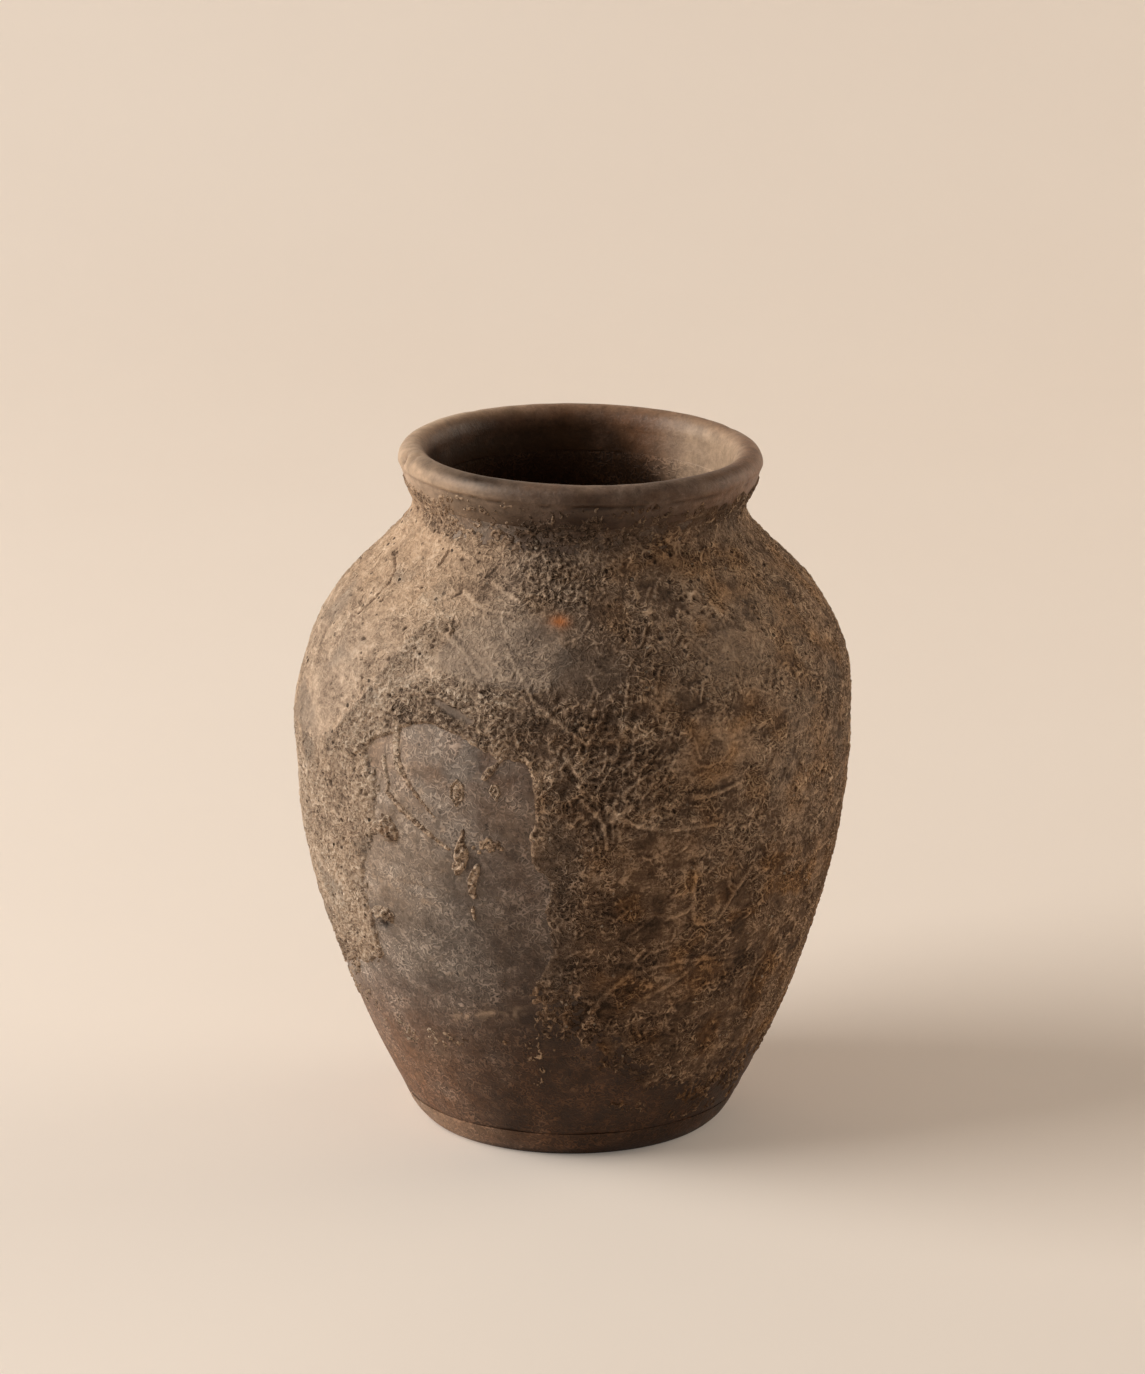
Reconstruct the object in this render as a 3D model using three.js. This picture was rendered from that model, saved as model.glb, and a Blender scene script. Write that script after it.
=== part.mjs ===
// An old earthenware jar, hand built from a floor slab, four wall sections, a neck collar and a
// rolled rim that are luted together, with a crust of dried earth that long burial left on it.
// Millimetres, +Z up, origin at the middle of the face it stands on, -Y towards the viewer.
import * as THREE from "three";

// Driving dimensions of the clay body
const HEIGHT = 200;
const FOOT_RADIUS = 43.2; // of the flat face that it stands on
const FOOT_BEND = [46.6, 2.4]; // radius and height that the rounded foot is drawn towards
const SLAB_THICKNESS = 8;
const SLAB_RADIUS = 49; // at the top of the slab, where the wall starts
const BELLY_RADIUS = 80;
const BELLY_HEIGHT = 119;
const NECK_RADIUS = 47.2;
const NECK_HEIGHT = 183.8;
const RIM_RADIUS = 52.2;
const RIM_HEIGHT = 195.5; // where the rolled rim is widest
const CREST_RADIUS = 48; // of the highest line of the roll
const LIP_RADIUS = 43.5; // of the narrowest line inside the roll
const LIP_HEIGHT = 193.8;
const WALL_THICKNESS = 5.5;
const JOINT_GAP = 0.3; // room for the slip that lutes two sections together
const JOINT_HEIGHTS = [SLAB_THICKNESS, 50, 88, 132, 173, 187.2]; // from the slab to the rim

// The jar left the potter's hands a little askew: shoulder and mouth sit off centre to the right,
// and the mouth slopes down to the right. Each starts at one height and is whole at another.
const SHOULDER_SHIFT = 1.6;
const SHOULDER_SHIFT_HEIGHTS = [118, 142];
const MOUTH_SHIFT = 1;
const MOUTH_SHIFT_HEIGHTS = [172, 190];
const MOUTH_SLOPE = 0.015;
const MOUTH_SLOPE_HEIGHTS = [168, 195];

// Driving dimensions of the earth crust
const CRUST_GAP = 0.45; // under the crust, so that its flat facets clear the round wall
const CRUST_EDGE = 0.5; // thickness where a patch ends
const CRUST_SAG = 0.17; // how far the facets of a patch may cut under the round surface
const RUN_STEP = 4; // longest facet of a run

const LATHE_SEGMENTS = 48;
const SECTION_STEPS = 4; // facets up one wall section
const ROLL_STEPS = 5; // facets on each side of the roll's crest
const FOOT_STEPS = 3; // facets on the rounded foot

const clay = new THREE.MeshStandardMaterial({ color: 0x5c534b, roughness: 0.8, metalness: 0 });
const rimClay = new THREE.MeshStandardMaterial({ color: 0x75665a, roughness: 0.75, metalness: 0 });
const paleEarth = new THREE.MeshStandardMaterial({ color: 0x9c8468, roughness: 0.95, metalness: 0 });
const darkEarth = new THREE.MeshStandardMaterial({ color: 0x6a5440, roughness: 0.95, metalness: 0 });

// The outside line of the wall, from the slab's edge to the widest line of the rim
const wallLine = new THREE.CatmullRomCurve3(
  [
    [SLAB_RADIUS, SLAB_THICKNESS],
    [59.6, 30],
    [70.3, 60],
    [77.5, 90],
    [BELLY_RADIUS, BELLY_HEIGHT],
    [76.3, 142],
    [67.4, 158],
    [55.1, 170.5],
    [48.5, 178.5],
    [NECK_RADIUS, NECK_HEIGHT],
    [49.3, 188.4],
    [RIM_RADIUS, RIM_HEIGHT],
  ].map(([radius, height]) => new THREE.Vector3(radius, height, 0)),
  false,
  "centripetal",
).getPoints(600);

// Radius and outward direction of the wall's outside at a height
function wallAt(height) {
  const found = wallLine.findIndex((p) => p.y >= height);
  const next = found < 0 ? wallLine.length - 1 : Math.max(found, 1);
  const low = wallLine[next - 1];
  const high = wallLine[next];
  const share = (height - low.y) / (high.y - low.y);
  const radius = low.x + share * (high.x - low.x);
  const out = new THREE.Vector2(high.y - low.y, low.x - high.x).normalize();
  return { radius, out };
}

// A point of the upright outline, offset from the wall's outside along its outward direction
function wallOffset(height, offset) {
  const { radius, out } = wallAt(height);
  return new THREE.Vector2(radius + out.x * offset, height + out.y * offset);
}

// Moves a point of the true jar to where the skewed one has it
function skew(point) {
  const { smoothstep } = THREE.MathUtils;
  const shoulder = SHOULDER_SHIFT * smoothstep(point.z, ...SHOULDER_SHIFT_HEIGHTS);
  const mouth = MOUTH_SHIFT * smoothstep(point.z, ...MOUTH_SHIFT_HEIGHTS);
  point.z -= MOUTH_SLOPE * smoothstep(point.z, ...MOUTH_SLOPE_HEIGHTS) * point.x;
  point.x += shoulder + mouth;
  return point;
}

function skewGeometry(geometry) {
  const position = geometry.getAttribute("position");
  const point = new THREE.Vector3();
  for (let i = 0; i < position.count; i++) {
    skew(point.fromBufferAttribute(position, i));
    position.setXYZ(i, point.x, point.y, point.z);
  }
  return geometry;
}

// Turns an outline of radius and height about the jar's axis
function turned(outline) {
  const geometry = new THREE.LatheGeometry(outline, LATHE_SEGMENTS);
  geometry.rotateX(Math.PI / 2);
  return skewGeometry(geometry);
}

function named(name, geometry, material) {
  const mesh = new THREE.Mesh(geometry, material);
  mesh.name = name;
  return mesh;
}

function heightsBetween(low, high, steps) {
  return Array.from({ length: steps + 1 }, (_, i) => low + ((high - low) * i) / steps);
}

// The floor slab: a flat disc with a rounded foot, under the whole wall
function floorSlab() {
  const top = SLAB_THICKNESS - JOINT_GAP;
  const foot = new THREE.QuadraticBezierCurve(
    new THREE.Vector2(FOOT_RADIUS, 0), new THREE.Vector2(...FOOT_BEND), new THREE.Vector2(SLAB_RADIUS, top),
  ).getPoints(FOOT_STEPS);
  return turned([new THREE.Vector2(0, 0), ...foot, new THREE.Vector2(0, top)]);
}

// One thrown section of the wall, its edges cut square to the wall
function wallSection(low, high) {
  const heights = heightsBetween(low + JOINT_GAP / 2, high - JOINT_GAP / 2, SECTION_STEPS);
  const outside = heights.map((z) => wallOffset(z, 0));
  const inside = heights.map((z) => wallOffset(z, -WALL_THICKNESS)).reverse();
  return turned([...outside, ...inside, outside[0]]);
}

// The lowest section stands flat on the slab
function lowerWall() {
  const [low, high] = JOINT_HEIGHTS;
  const heights = heightsBetween(low, high - JOINT_GAP / 2, SECTION_STEPS);
  const outside = heights.map((z) => wallOffset(z, 0));
  const inside = heights.map((z) => wallOffset(z, -WALL_THICKNESS)).reverse();
  inside[inside.length - 1].y = low;
  return turned([...outside, ...inside, outside[0]]);
}

// The rolled rim: the clay is turned over outwards into a thick round lip
function rolledRim() {
  const low = JOINT_HEIGHTS[5] + JOINT_GAP / 2;
  const flare = heightsBetween(low, RIM_HEIGHT, SECTION_STEPS).map((z) => wallOffset(z, 0));
  const outer = new THREE.EllipseCurve(
    CREST_RADIUS, RIM_HEIGHT, RIM_RADIUS - CREST_RADIUS, HEIGHT - RIM_HEIGHT, 0, Math.PI / 2,
  ).getPoints(ROLL_STEPS);
  const inner = new THREE.EllipseCurve(
    CREST_RADIUS, LIP_HEIGHT, CREST_RADIUS - LIP_RADIUS, HEIGHT - LIP_HEIGHT, Math.PI / 2, Math.PI,
  ).getPoints(ROLL_STEPS);
  const throat = wallOffset(low, -WALL_THICKNESS);
  return turned([...flare, ...outer.slice(1), ...inner.slice(1), throat, flare[0]]);
}

// A point on the jar's outside: degrees from the front, to the right, and height on the wall
function onWall(degrees, height, offset) {
  const at = wallOffset(height, offset);
  const angle = THREE.MathUtils.degToRad(degrees);
  return skew(new THREE.Vector3(at.x * Math.sin(angle), -at.x * Math.cos(angle), at.y));
}

// Collects points and faces into one closed mesh
class Skin {
  points = [];
  faces = [];

  add(point) {
    this.points.push(point.x, point.y, point.z);
    return this.points.length / 3 - 1;
  }

  quad(a, b, c, d) {
    this.faces.push(a, b, c, a, c, d);
  }

  geometry() {
    const made = new THREE.BufferGeometry();
    made.setAttribute("position", new THREE.Float32BufferAttribute(this.points, 3));
    made.setIndex(this.faces);
    return made;
  }
}

// One side of a patch: rings drawn in from its edge to its middle, at an offset from the wall
function patchSide(skin, edge, middle, rings, mmPerDegree, offsetAt) {
  const place = (at, share) => skin.add(onWall(at.x / mmPerDegree, at.y, offsetAt(share)));
  const centre = place(middle, 0);
  const loops = heightsBetween(1 / rings, 1, rings - 1).map((share) =>
    edge.map((p) => place(middle.clone().lerp(p, share), share)));
  return { centre, loops };
}

// A patch of earth crust inside a rounded outline of [degrees from the front, height] corners,
// thickest in its middle and lying on the wall
function crustPatch(thickness, outline) {
  const meanHeight = outline.reduce((sum, corner) => sum + corner[1], 0) / outline.length;
  const wallRadius = wallAt(meanHeight).radius;
  const mmPerDegree = THREE.MathUtils.degToRad(wallRadius);
  const step = Math.sqrt(8 * wallRadius * CRUST_SAG);
  const rounded = new THREE.CatmullRomCurve3(
    outline.map(([degrees, height]) => new THREE.Vector3(degrees * mmPerDegree, height, 0)),
    true,
    "centripetal",
  );
  const samples = Math.max(10, Math.ceil(rounded.getLength() / step));
  const edge = rounded.getSpacedPoints(samples).slice(0, samples);
  if (THREE.ShapeUtils.area(edge) < 0) edge.reverse();
  const middle = edge.reduce((sum, p) => sum.add(p), new THREE.Vector3()).divideScalar(samples);
  const radius = Math.max(...edge.map((p) => p.distanceTo(middle)));
  const rings = Math.max(2, Math.ceil(radius / step));

  const skin = new Skin();
  const crown = (share) => CRUST_GAP + CRUST_EDGE + (thickness - CRUST_EDGE) * (1 - share ** 4);
  const top = patchSide(skin, edge, middle, rings, mmPerDegree, crown);
  const under = patchSide(skin, edge, middle, rings, mmPerDegree, () => CRUST_GAP);
  for (let i = 0; i < samples; i++) {
    const j = (i + 1) % samples;
    skin.faces.push(top.centre, top.loops[0][i], top.loops[0][j]);
    skin.faces.push(under.centre, under.loops[0][j], under.loops[0][i]);
    for (let ring = 1; ring < rings; ring++) {
      const [t0, t1] = [top.loops[ring - 1], top.loops[ring]];
      const [u0, u1] = [under.loops[ring - 1], under.loops[ring]];
      skin.quad(t0[i], t1[i], t1[j], t0[j]);
      skin.quad(u0[j], u1[j], u1[i], u0[i]);
    }
    skin.quad(top.loops[rings - 1][i], under.loops[rings - 1][i],
      under.loops[rings - 1][j], top.loops[rings - 1][j]);
  }
  return skin.geometry();
}

// A run or drip of earth: a low ridge along a route of [degrees, height, half width] stations
function crustRun(thickness, route) {
  const line = new THREE.CatmullRomCurve3(
    route.map(([degrees, height]) => new THREE.Vector3(degrees, height, 0)), false, "centripetal",
  );
  const widths = new THREE.CatmullRomCurve3(
    route.map((station, i) => new THREE.Vector3(i, station[2], 0)), false, "centripetal",
  );
  const mmPerDegree = THREE.MathUtils.degToRad(wallAt(route[0][1]).radius);
  const spans = route.slice(1).map(([degrees, height], i) =>
    Math.hypot((degrees - route[i][0]) * mmPerDegree, height - route[i][1]));
  const length = spans.reduce((sum, span) => sum + span, 0);
  const steps = Math.max(route.length, Math.ceil(length / RUN_STEP));

  const skin = new Skin();
  const stations = heightsBetween(0, 1, steps).map((share) => {
    const at = line.getPoint(share);
    const along = line.getTangent(share);
    const across = new THREE.Vector2(-along.y, along.x * mmPerDegree).normalize();
    const half = widths.getPoint(share).y;
    const beside = (k, offset) => skin.add(
      onWall(at.x + (across.x * k * half) / mmPerDegree, at.y + across.y * k * half, offset));
    const foot = CRUST_GAP;
    return [
      beside(1, foot), beside(-1, foot), beside(-0.6, foot + thickness * 0.75),
      beside(0, foot + thickness), beside(0.6, foot + thickness * 0.75),
    ];
  });
  const sides = stations[0].length;
  for (let s = 0; s < steps; s++) {
    for (let k = 0; k < sides; k++) {
      const m = (k + 1) % sides;
      skin.quad(stations[s][k], stations[s + 1][k], stations[s + 1][m], stations[s][m]);
    }
  }
  for (let k = 1; k < sides - 1; k++) {
    skin.faces.push(stations[0][0], stations[0][k], stations[0][k + 1]);
    skin.faces.push(stations[steps][0], stations[steps][k + 1], stations[steps][k]);
  }
  return skin.geometry();
}

// The clay body, from the floor up
const body = new THREE.Group();
body.add(named("floor_slab", floorSlab(), clay));
body.add(named("lower_wall", lowerWall(), clay));
["middle_wall", "belly_wall", "shoulder_wall", "neck_collar"].forEach((name, i) => {
  body.add(named(name, wallSection(JOINT_HEIGHTS[i + 1], JOINT_HEIGHTS[i + 2]), clay));
});
body.add(named("rolled_rim", rolledRim(), rimClay));

// Patches of earth crust: thickness, then the corners of the outline
const PALE_PATCHES = {
  crust_left_shoulder: [0.7, [[-97, 128], [-98, 150], [-93, 167], [-72, 178], [-50, 178.5], [-38, 174],
    [-39, 165], [-45, 155], [-51, 142], [-60, 128], [-78, 122]]],
  crust_left_ridge: [1.4, [[-56, 125], [-50, 137], [-45, 148], [-40, 158], [-36, 162], [-33.5, 159],
    [-38, 150], [-43.5, 139], [-47, 130], [-51, 124.5]]],
  crust_left_flank: [0.9, [[-90, 117], [-73, 117.5], [-58, 120.5], [-48, 121.5], [-45, 113], [-46, 104],
    [-48.5, 97], [-51.5, 88], [-53.5, 80], [-54.5, 71], [-55.5, 62], [-66, 55], [-80, 53], [-91, 63],
    [-96, 90]]],
  crust_brow: [1.6, [[-39.5, 141.5], [-36.5, 146.5], [-30, 148], [-20, 147], [-12.5, 145], [-9.5, 139],
    [-12.5, 134.5], [-18, 136], [-27, 138.8], [-34, 138.8], [-38.5, 138.2]]],
  crust_upper_front: [0.7, [[-31, 155], [-29, 160], [-20, 161.5], [-9, 161], [-4, 156], [-7, 151],
    [-17, 150.3], [-27, 150.5]]],
  crust_neck_left: [0.9, [[-60, 182.5], [-46, 186], [-28, 186.3], [-13, 184.5], [-17, 181], [-30, 180.3],
    [-46, 181]]],
};
const DARK_PATCHES = {
  crust_neck_clump: [1.6, [[-17, 170.5], [-14, 175.5], [-7, 178], [-0.5, 175.5], [0.5, 170], [-4, 167],
    [-11, 167]]],
  crust_right_shoulder: [0.9, [[5, 164], [8, 171], [20, 177], [40, 179], [60, 177], [80, 170], [92, 158],
    [88, 149], [58, 147.5], [40, 147.5], [23, 148.5], [9, 152], [3.5, 157.5]]],
  crust_right_flank: [1.1, [[-7, 143], [2, 148], [9, 147.5], [22, 144.5], [40, 143.5], [60, 143.5],
    [84, 144.5], [94, 130], [94, 108], [82, 98], [55, 96], [30, 96], [10, 96], [-1, 96], [-4.5, 101],
    [-6.5, 111], [-7.5, 122], [-7.5, 134]]],
  crust_lower_right: [1.0, [[-3.5, 90], [0, 92], [30, 92], [55, 92], [82, 93], [91, 80], [84, 62], [66, 48],
    [47, 38], [30, 34], [14, 36], [8.5, 42], [8, 52], [1, 55.5], [-5, 52.5], [-8.5, 58], [-6, 66],
    [-4, 76], [-4.5, 84]]],
  crust_back_right: [1.0, [[102, 160], [113, 173], [135, 177], [152, 168], [158, 146], [146, 126],
    [122, 120], [106, 128], [100, 144]]],
  crust_back_middle: [1.1, [[100, 112], [126, 113], [150, 116], [166, 104], [168, 78], [150, 56], [124, 50],
    [103, 60], [98, 86]]],
  crust_back_left: [1.2, [[-106, 165], [-128, 175], [-156, 172], [-186, 160], [-192, 134], [-178, 104],
    [-150, 92], [-122, 98], [-105, 120], [-102, 144]]],
  crust_back_low: [0.9, [[-112, 84], [-136, 84], [-160, 80], [-174, 62], [-164, 42], [-138, 33], [-114, 42],
    [-104, 62]]],
};
// Lumps that stand by themselves on the bare clay of the front
const LUMPS = {
  lump_left: [1.6, [[-43, 103.5], [-42, 108], [-39.8, 108], [-37.6, 104], [-38.2, 100.5], [-41, 99.8]]],
  lump_left_chip: [2.0, [[-50.3, 74], [-48.5, 77.5], [-44, 78.5], [-42, 76.5], [-43.5, 73.8], [-47.5, 72.5]]],
  lump_left_low: [1.5, [[-53, 61.5], [-52, 65], [-49.5, 65], [-48.7, 62], [-50.5, 60]]],
  bead_left: [0.9, [[-24.4, 117.5], [-23.4, 121], [-22.6, 120], [-22.9, 117], [-24, 116]]],
  bead_right: [0.7, [[-16.3, 120.2], [-15.7, 121.6], [-15.1, 121], [-15.2, 119.3], [-15.9, 118.8]]],
  lump_lower_right: [1.3, [[1.6, 45], [2.6, 50.5], [4.6, 51.5], [6, 48], [5.4, 42.5], [3.4, 39.8]]],
};
// Runs and drips of the same earth: thickness, then stations of [degrees, height, half width]
const RUNS = {
  run_long_upper: [0.7, [[-38.2, 127.5, 0.7], [-36.6, 122.5, 0.9], [-32.5, 115.5, 0.8], [-28.8, 110.5, 0.5]]],
  run_long_lower: [0.9, [[-39.8, 114.5, 0.8], [-36, 110.3, 1.0], [-31, 105.8, 0.9], [-25.8, 101.3, 0.6]]],
  drip_brow: [1.1, [[-14.2, 131.6, 0.7], [-14.8, 129, 0.6], [-16.2, 126.6, 0.9], [-17.3, 124.6, 1.3],
    [-17.7, 123.6, 0.8]]],
  drip_middle_upper: [1.2, [[-22.6, 105.4, 0.8], [-23, 102, 1.4], [-23.7, 98, 1.5], [-24, 95.3, 0.8]]],
  drip_middle_lower: [1.0, [[-19.9, 98.2, 0.6], [-20.6, 94.5, 1.1], [-20.8, 91, 1.1], [-20.6, 88.2, 0.5]]],
  drip_middle_tail: [0.5, [[-21, 84.6, 0.4], [-21.2, 82.5, 0.6], [-21, 80.6, 0.4]]],
};

const crust = new THREE.Group();
const addEach = (pieces, shape, material) => {
  for (const [name, [thickness, places]] of Object.entries(pieces)) {
    crust.add(named(name, shape(thickness, places), material));
  }
};
addEach(PALE_PATCHES, crustPatch, paleEarth);
addEach(DARK_PATCHES, crustPatch, darkEarth);
addEach(LUMPS, crustPatch, paleEarth);
addEach(RUNS, crustRun, paleEarth);

const jar = new THREE.Group();
jar.add(body, crust);

export default jar;
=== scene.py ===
import itertools
import math

import bpy
import numpy as np
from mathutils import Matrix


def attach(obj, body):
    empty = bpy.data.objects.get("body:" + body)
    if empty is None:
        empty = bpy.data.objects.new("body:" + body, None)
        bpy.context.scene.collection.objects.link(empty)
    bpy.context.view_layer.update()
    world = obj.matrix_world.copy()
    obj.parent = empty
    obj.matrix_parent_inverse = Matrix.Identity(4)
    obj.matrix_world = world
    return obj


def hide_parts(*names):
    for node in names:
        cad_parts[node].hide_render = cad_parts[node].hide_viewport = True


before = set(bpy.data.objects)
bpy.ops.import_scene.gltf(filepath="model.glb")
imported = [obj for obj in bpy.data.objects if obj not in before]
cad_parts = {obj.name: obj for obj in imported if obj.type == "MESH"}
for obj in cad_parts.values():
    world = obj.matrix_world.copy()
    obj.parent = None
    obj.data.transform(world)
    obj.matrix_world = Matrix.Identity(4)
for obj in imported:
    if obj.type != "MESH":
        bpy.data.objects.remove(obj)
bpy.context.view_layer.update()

# Floor slab
# A disc of coarse clay, rolled out and cut round, its foot edge rubbed smooth on shelves.
# The wall is luted on top of it with slip, which leaves the line around the foot.
MM = 0.001  # sizes are in mm until a mesh is made, angles in degrees from the front towards the right
FOOT_RADIUS = 43.2
FOOT_BEND = (46.6, 2.4)
SLAB_RADIUS = 49.0
SLAB_THICKNESS = 8.0
UNDER_RADII = (12, 30, 41)
TOP_RADII = (47, 30, 12)
RUB_DEPTH = 0.25
COLUMNS = 720
SHARP_ANGLE = 70
# A small hole in the clay beside the left chip of earth, also darkened as a painted shadow of the chip:
# angle, height and half sizes
CHIP_HOLE = (-46.6, 72.3, 1.8, 1.25)
# What the noise is mixed with, how far apart its seeds lie, and what brings it to about -1 to 1
HASH_MIX = 1274126177
HASH_PRIMES = (374761393, 668265263, 2246822519)
SEED_STRIDE = 17.31
NOISE_GAIN = 1.3


def smooth(value, low, high):
    """0 below low, 1 above high, with an eased step between; low may be the larger."""
    share = np.clip((value - low) / (high - low), 0, 1)
    return share * share * (3 - 2 * share)


def between(value, rise, full, wane, gone):
    """1 from full to wane, eased to 0 at rise and gone."""
    return smooth(value, rise, full) * smooth(value, gone, wane)


def bell(value, middle, half):
    """1 at the middle, falling softly to about a third at half off it and to nearly 0 at twice that."""
    return np.exp(-(((value - middle) / half) ** 2))


def spot(angle, height, at, level, half_width, half_height):
    """A soft spot, 1 in its middle at an angle and a level."""
    return bell(angle, at, half_width) * bell(height, level, half_height)


def streak(angle, height, at, level, slope, half_height, reach, full):
    """A soft line through an angle and a level, rising by slope mm a degree, that ends reach degrees off."""
    return bell(height, level + slope * (angle - at), half_height) * smooth(abs(angle - at), reach, full)


def folded(angle):
    """An angle as its like between -180 and 180 degrees."""
    return (angle + 180) % 360 - 180


def noise(points, size, seed):
    """Smooth random bumps about size mm across, from about -1 to 1, at points in mm."""
    scaled = (points / size + seed * SEED_STRIDE).astype(np.float32)
    cell = np.floor(scaled)
    inside = scaled - cell
    cell = cell.astype(np.int64)
    eased = inside**3 * (inside * (inside * 6 - 15) + 10)
    total = np.zeros(points.shape[:-1], np.float32)
    for corner in itertools.product((0, 1), repeat=3):
        key = seed * HASH_MIX
        for axis, prime in enumerate(HASH_PRIMES):
            key = key + (cell[..., axis] + corner[axis]) * prime
        key = ((key ^ (key >> 13)) * HASH_MIX) & 0xFFFFFFFF
        key = key ^ (key >> 16)
        weight = 1
        slope = 0
        for axis in range(3):
            toward = inside[..., axis] - corner[axis]
            weight = weight * (eased[..., axis] if corner[axis] else 1 - eased[..., axis])
            slope = slope + toward * (((key >> (8 * axis)) & 255) / 127.5 - 1)
        total += weight * slope
    return total * NOISE_GAIN


def ring(outline, angle, out=np.zeros((1, 2)), offset=0):
    """Points of an outline of (radius, height) turned to each angle, pushed along out by offset."""
    turn = np.radians(angle)
    radius, height = outline.T[..., None] + out.T[..., None] * offset
    return np.stack([radius * np.sin(turn), -radius * np.cos(turn), height + 0 * turn], -1)


def linear(code, alpha=1.0):
    """An sRGB hex colour as linear RGBA."""
    parts = [int(code[i : i + 2], 16) / 255 for i in (0, 2, 4)]
    return [c / 12.92 if c <= 0.04045 else ((c + 0.055) / 1.055) ** 2.4 for c in parts] + [alpha]


def add(tree, kind, inputs=(), **settings):
    """Adds a shader node: settings are its properties, inputs feed its sockets by name, number or in order.

    An input is a value, a socket, or a node, which stands for its first output in use."""
    made = tree.nodes.new("ShaderNode" + kind)
    for key, value in settings.items():
        setattr(made, key, value)
    for key, value in inputs.items() if isinstance(inputs, dict) else enumerate(inputs):
        if isinstance(value, bpy.types.Node):
            value = next(socket for socket in value.outputs if socket.enabled)
        if isinstance(value, bpy.types.NodeSocket):
            tree.links.new(value, made.inputs[key])
        else:
            made.inputs[key].default_value = value
    return made


def new_material(name):
    """An empty material, its node tree, and the socket that gives the place on the object in metres."""
    material = bpy.data.materials.new(name)
    material.use_nodes = True
    tree = material.node_tree
    tree.nodes.clear()
    return material, tree, add(tree, "TexCoord").outputs["Object"]


def piece(name, node_name, points, faces, uv, masks, material):
    """A closed mesh from groups of like faces, with smooth shading and one number per point for each mask."""
    mesh = bpy.data.meshes.new(name)
    mesh.vertices.add(len(points))
    mesh.vertices.foreach_set("co", (points * MM).astype(np.float32).ravel())
    corners = np.concatenate([group.ravel() for group in faces])
    sizes = np.concatenate([np.full(len(group), group.shape[1]) for group in faces])
    mesh.loops.add(len(corners))
    mesh.loops.foreach_set("vertex_index", corners.astype(np.int32))
    mesh.polygons.add(len(sizes))
    mesh.polygons.foreach_set("loop_start", (np.cumsum(sizes) - sizes).astype(np.int32))
    mesh.update(calc_edges=True)
    mesh.uv_layers.new(name="OFBake").data.foreach_set("uv", uv.astype(np.float32).ravel())
    for mask, values in masks.items():
        layer = mesh.attributes.new(mask, "FLOAT", "POINT")
        layer.data.foreach_set("value", values.astype(np.float32).ravel())
    mesh.set_sharp_from_angle(angle=math.radians(SHARP_ANGLE))
    mesh.materials.append(material)
    made = bpy.data.objects.new(name, mesh)
    bpy.context.scene.collection.objects.link(made)
    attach(made, "root")
    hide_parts(node_name)


def turned_piece(node_name, points, masks, material, capped=False):
    """Rows of points around the axis, joined into a ring whose last row meets its first, or capped flat."""
    rows, columns = points.shape[:2]
    i, j = np.meshgrid(np.arange(rows - 1 if capped else rows), np.arange(columns), indexing="ij")
    near, far = (j + 1) % columns, (i + 1) % rows
    quads = np.stack([i * columns + j, i * columns + near, far * columns + near, far * columns + j], -1)
    faces = [quads.reshape(-1, 4)]
    u0, u1 = j / columns, (j + 1) / columns
    v0, v1 = i / rows, (i + 1) / rows
    uv = np.stack([u0, v0, u1, v0, u1, v1, u0, v1], -1).reshape(-1, 2)
    if capped:
        edge = np.arange(columns)
        turn = 2 * math.pi * edge / columns
        # In the map the caps are two small circles above the rows
        circle = 0.004 * np.stack([np.cos(turn), np.sin(turn)], -1) + (0.02, 0.99)
        faces.append(np.stack([edge[::-1], (rows - 1) * columns + edge]))
        uv = np.concatenate([uv, circle, circle + (0.02, 0)])
    piece(node_name + "_clay", node_name, points.reshape(-1, 3), faces, uv, masks, material)


def winding(tree, place, size, core):
    """Winding lines like casts of fine roots, size mm apart, and furrows beside them: a noise's middle level.

    Real casts are a tenth or two of a millimetre wide. These are about three times that, in order to show.
    The furrows are colour only: painted shade beside the raised casts."""
    pattern = {"Scale": 1 / (size * MM), "Detail": 0.3, "Distortion": 0.7}
    field = add(tree, "TexNoise", {"Vector": place, **pattern})
    off = add(tree, "Math", (field, 0.5), operation="SUBTRACT")
    off = add(tree, "Math", (off,), operation="ABSOLUTE")
    line = add(tree, "MapRange", (off, core, 0.35 * core, 0, 1))
    furrow_shade = add(tree, "MapRange", (off, 2.4 * core, core, 0, 1))
    return line, furrow_shade
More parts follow.
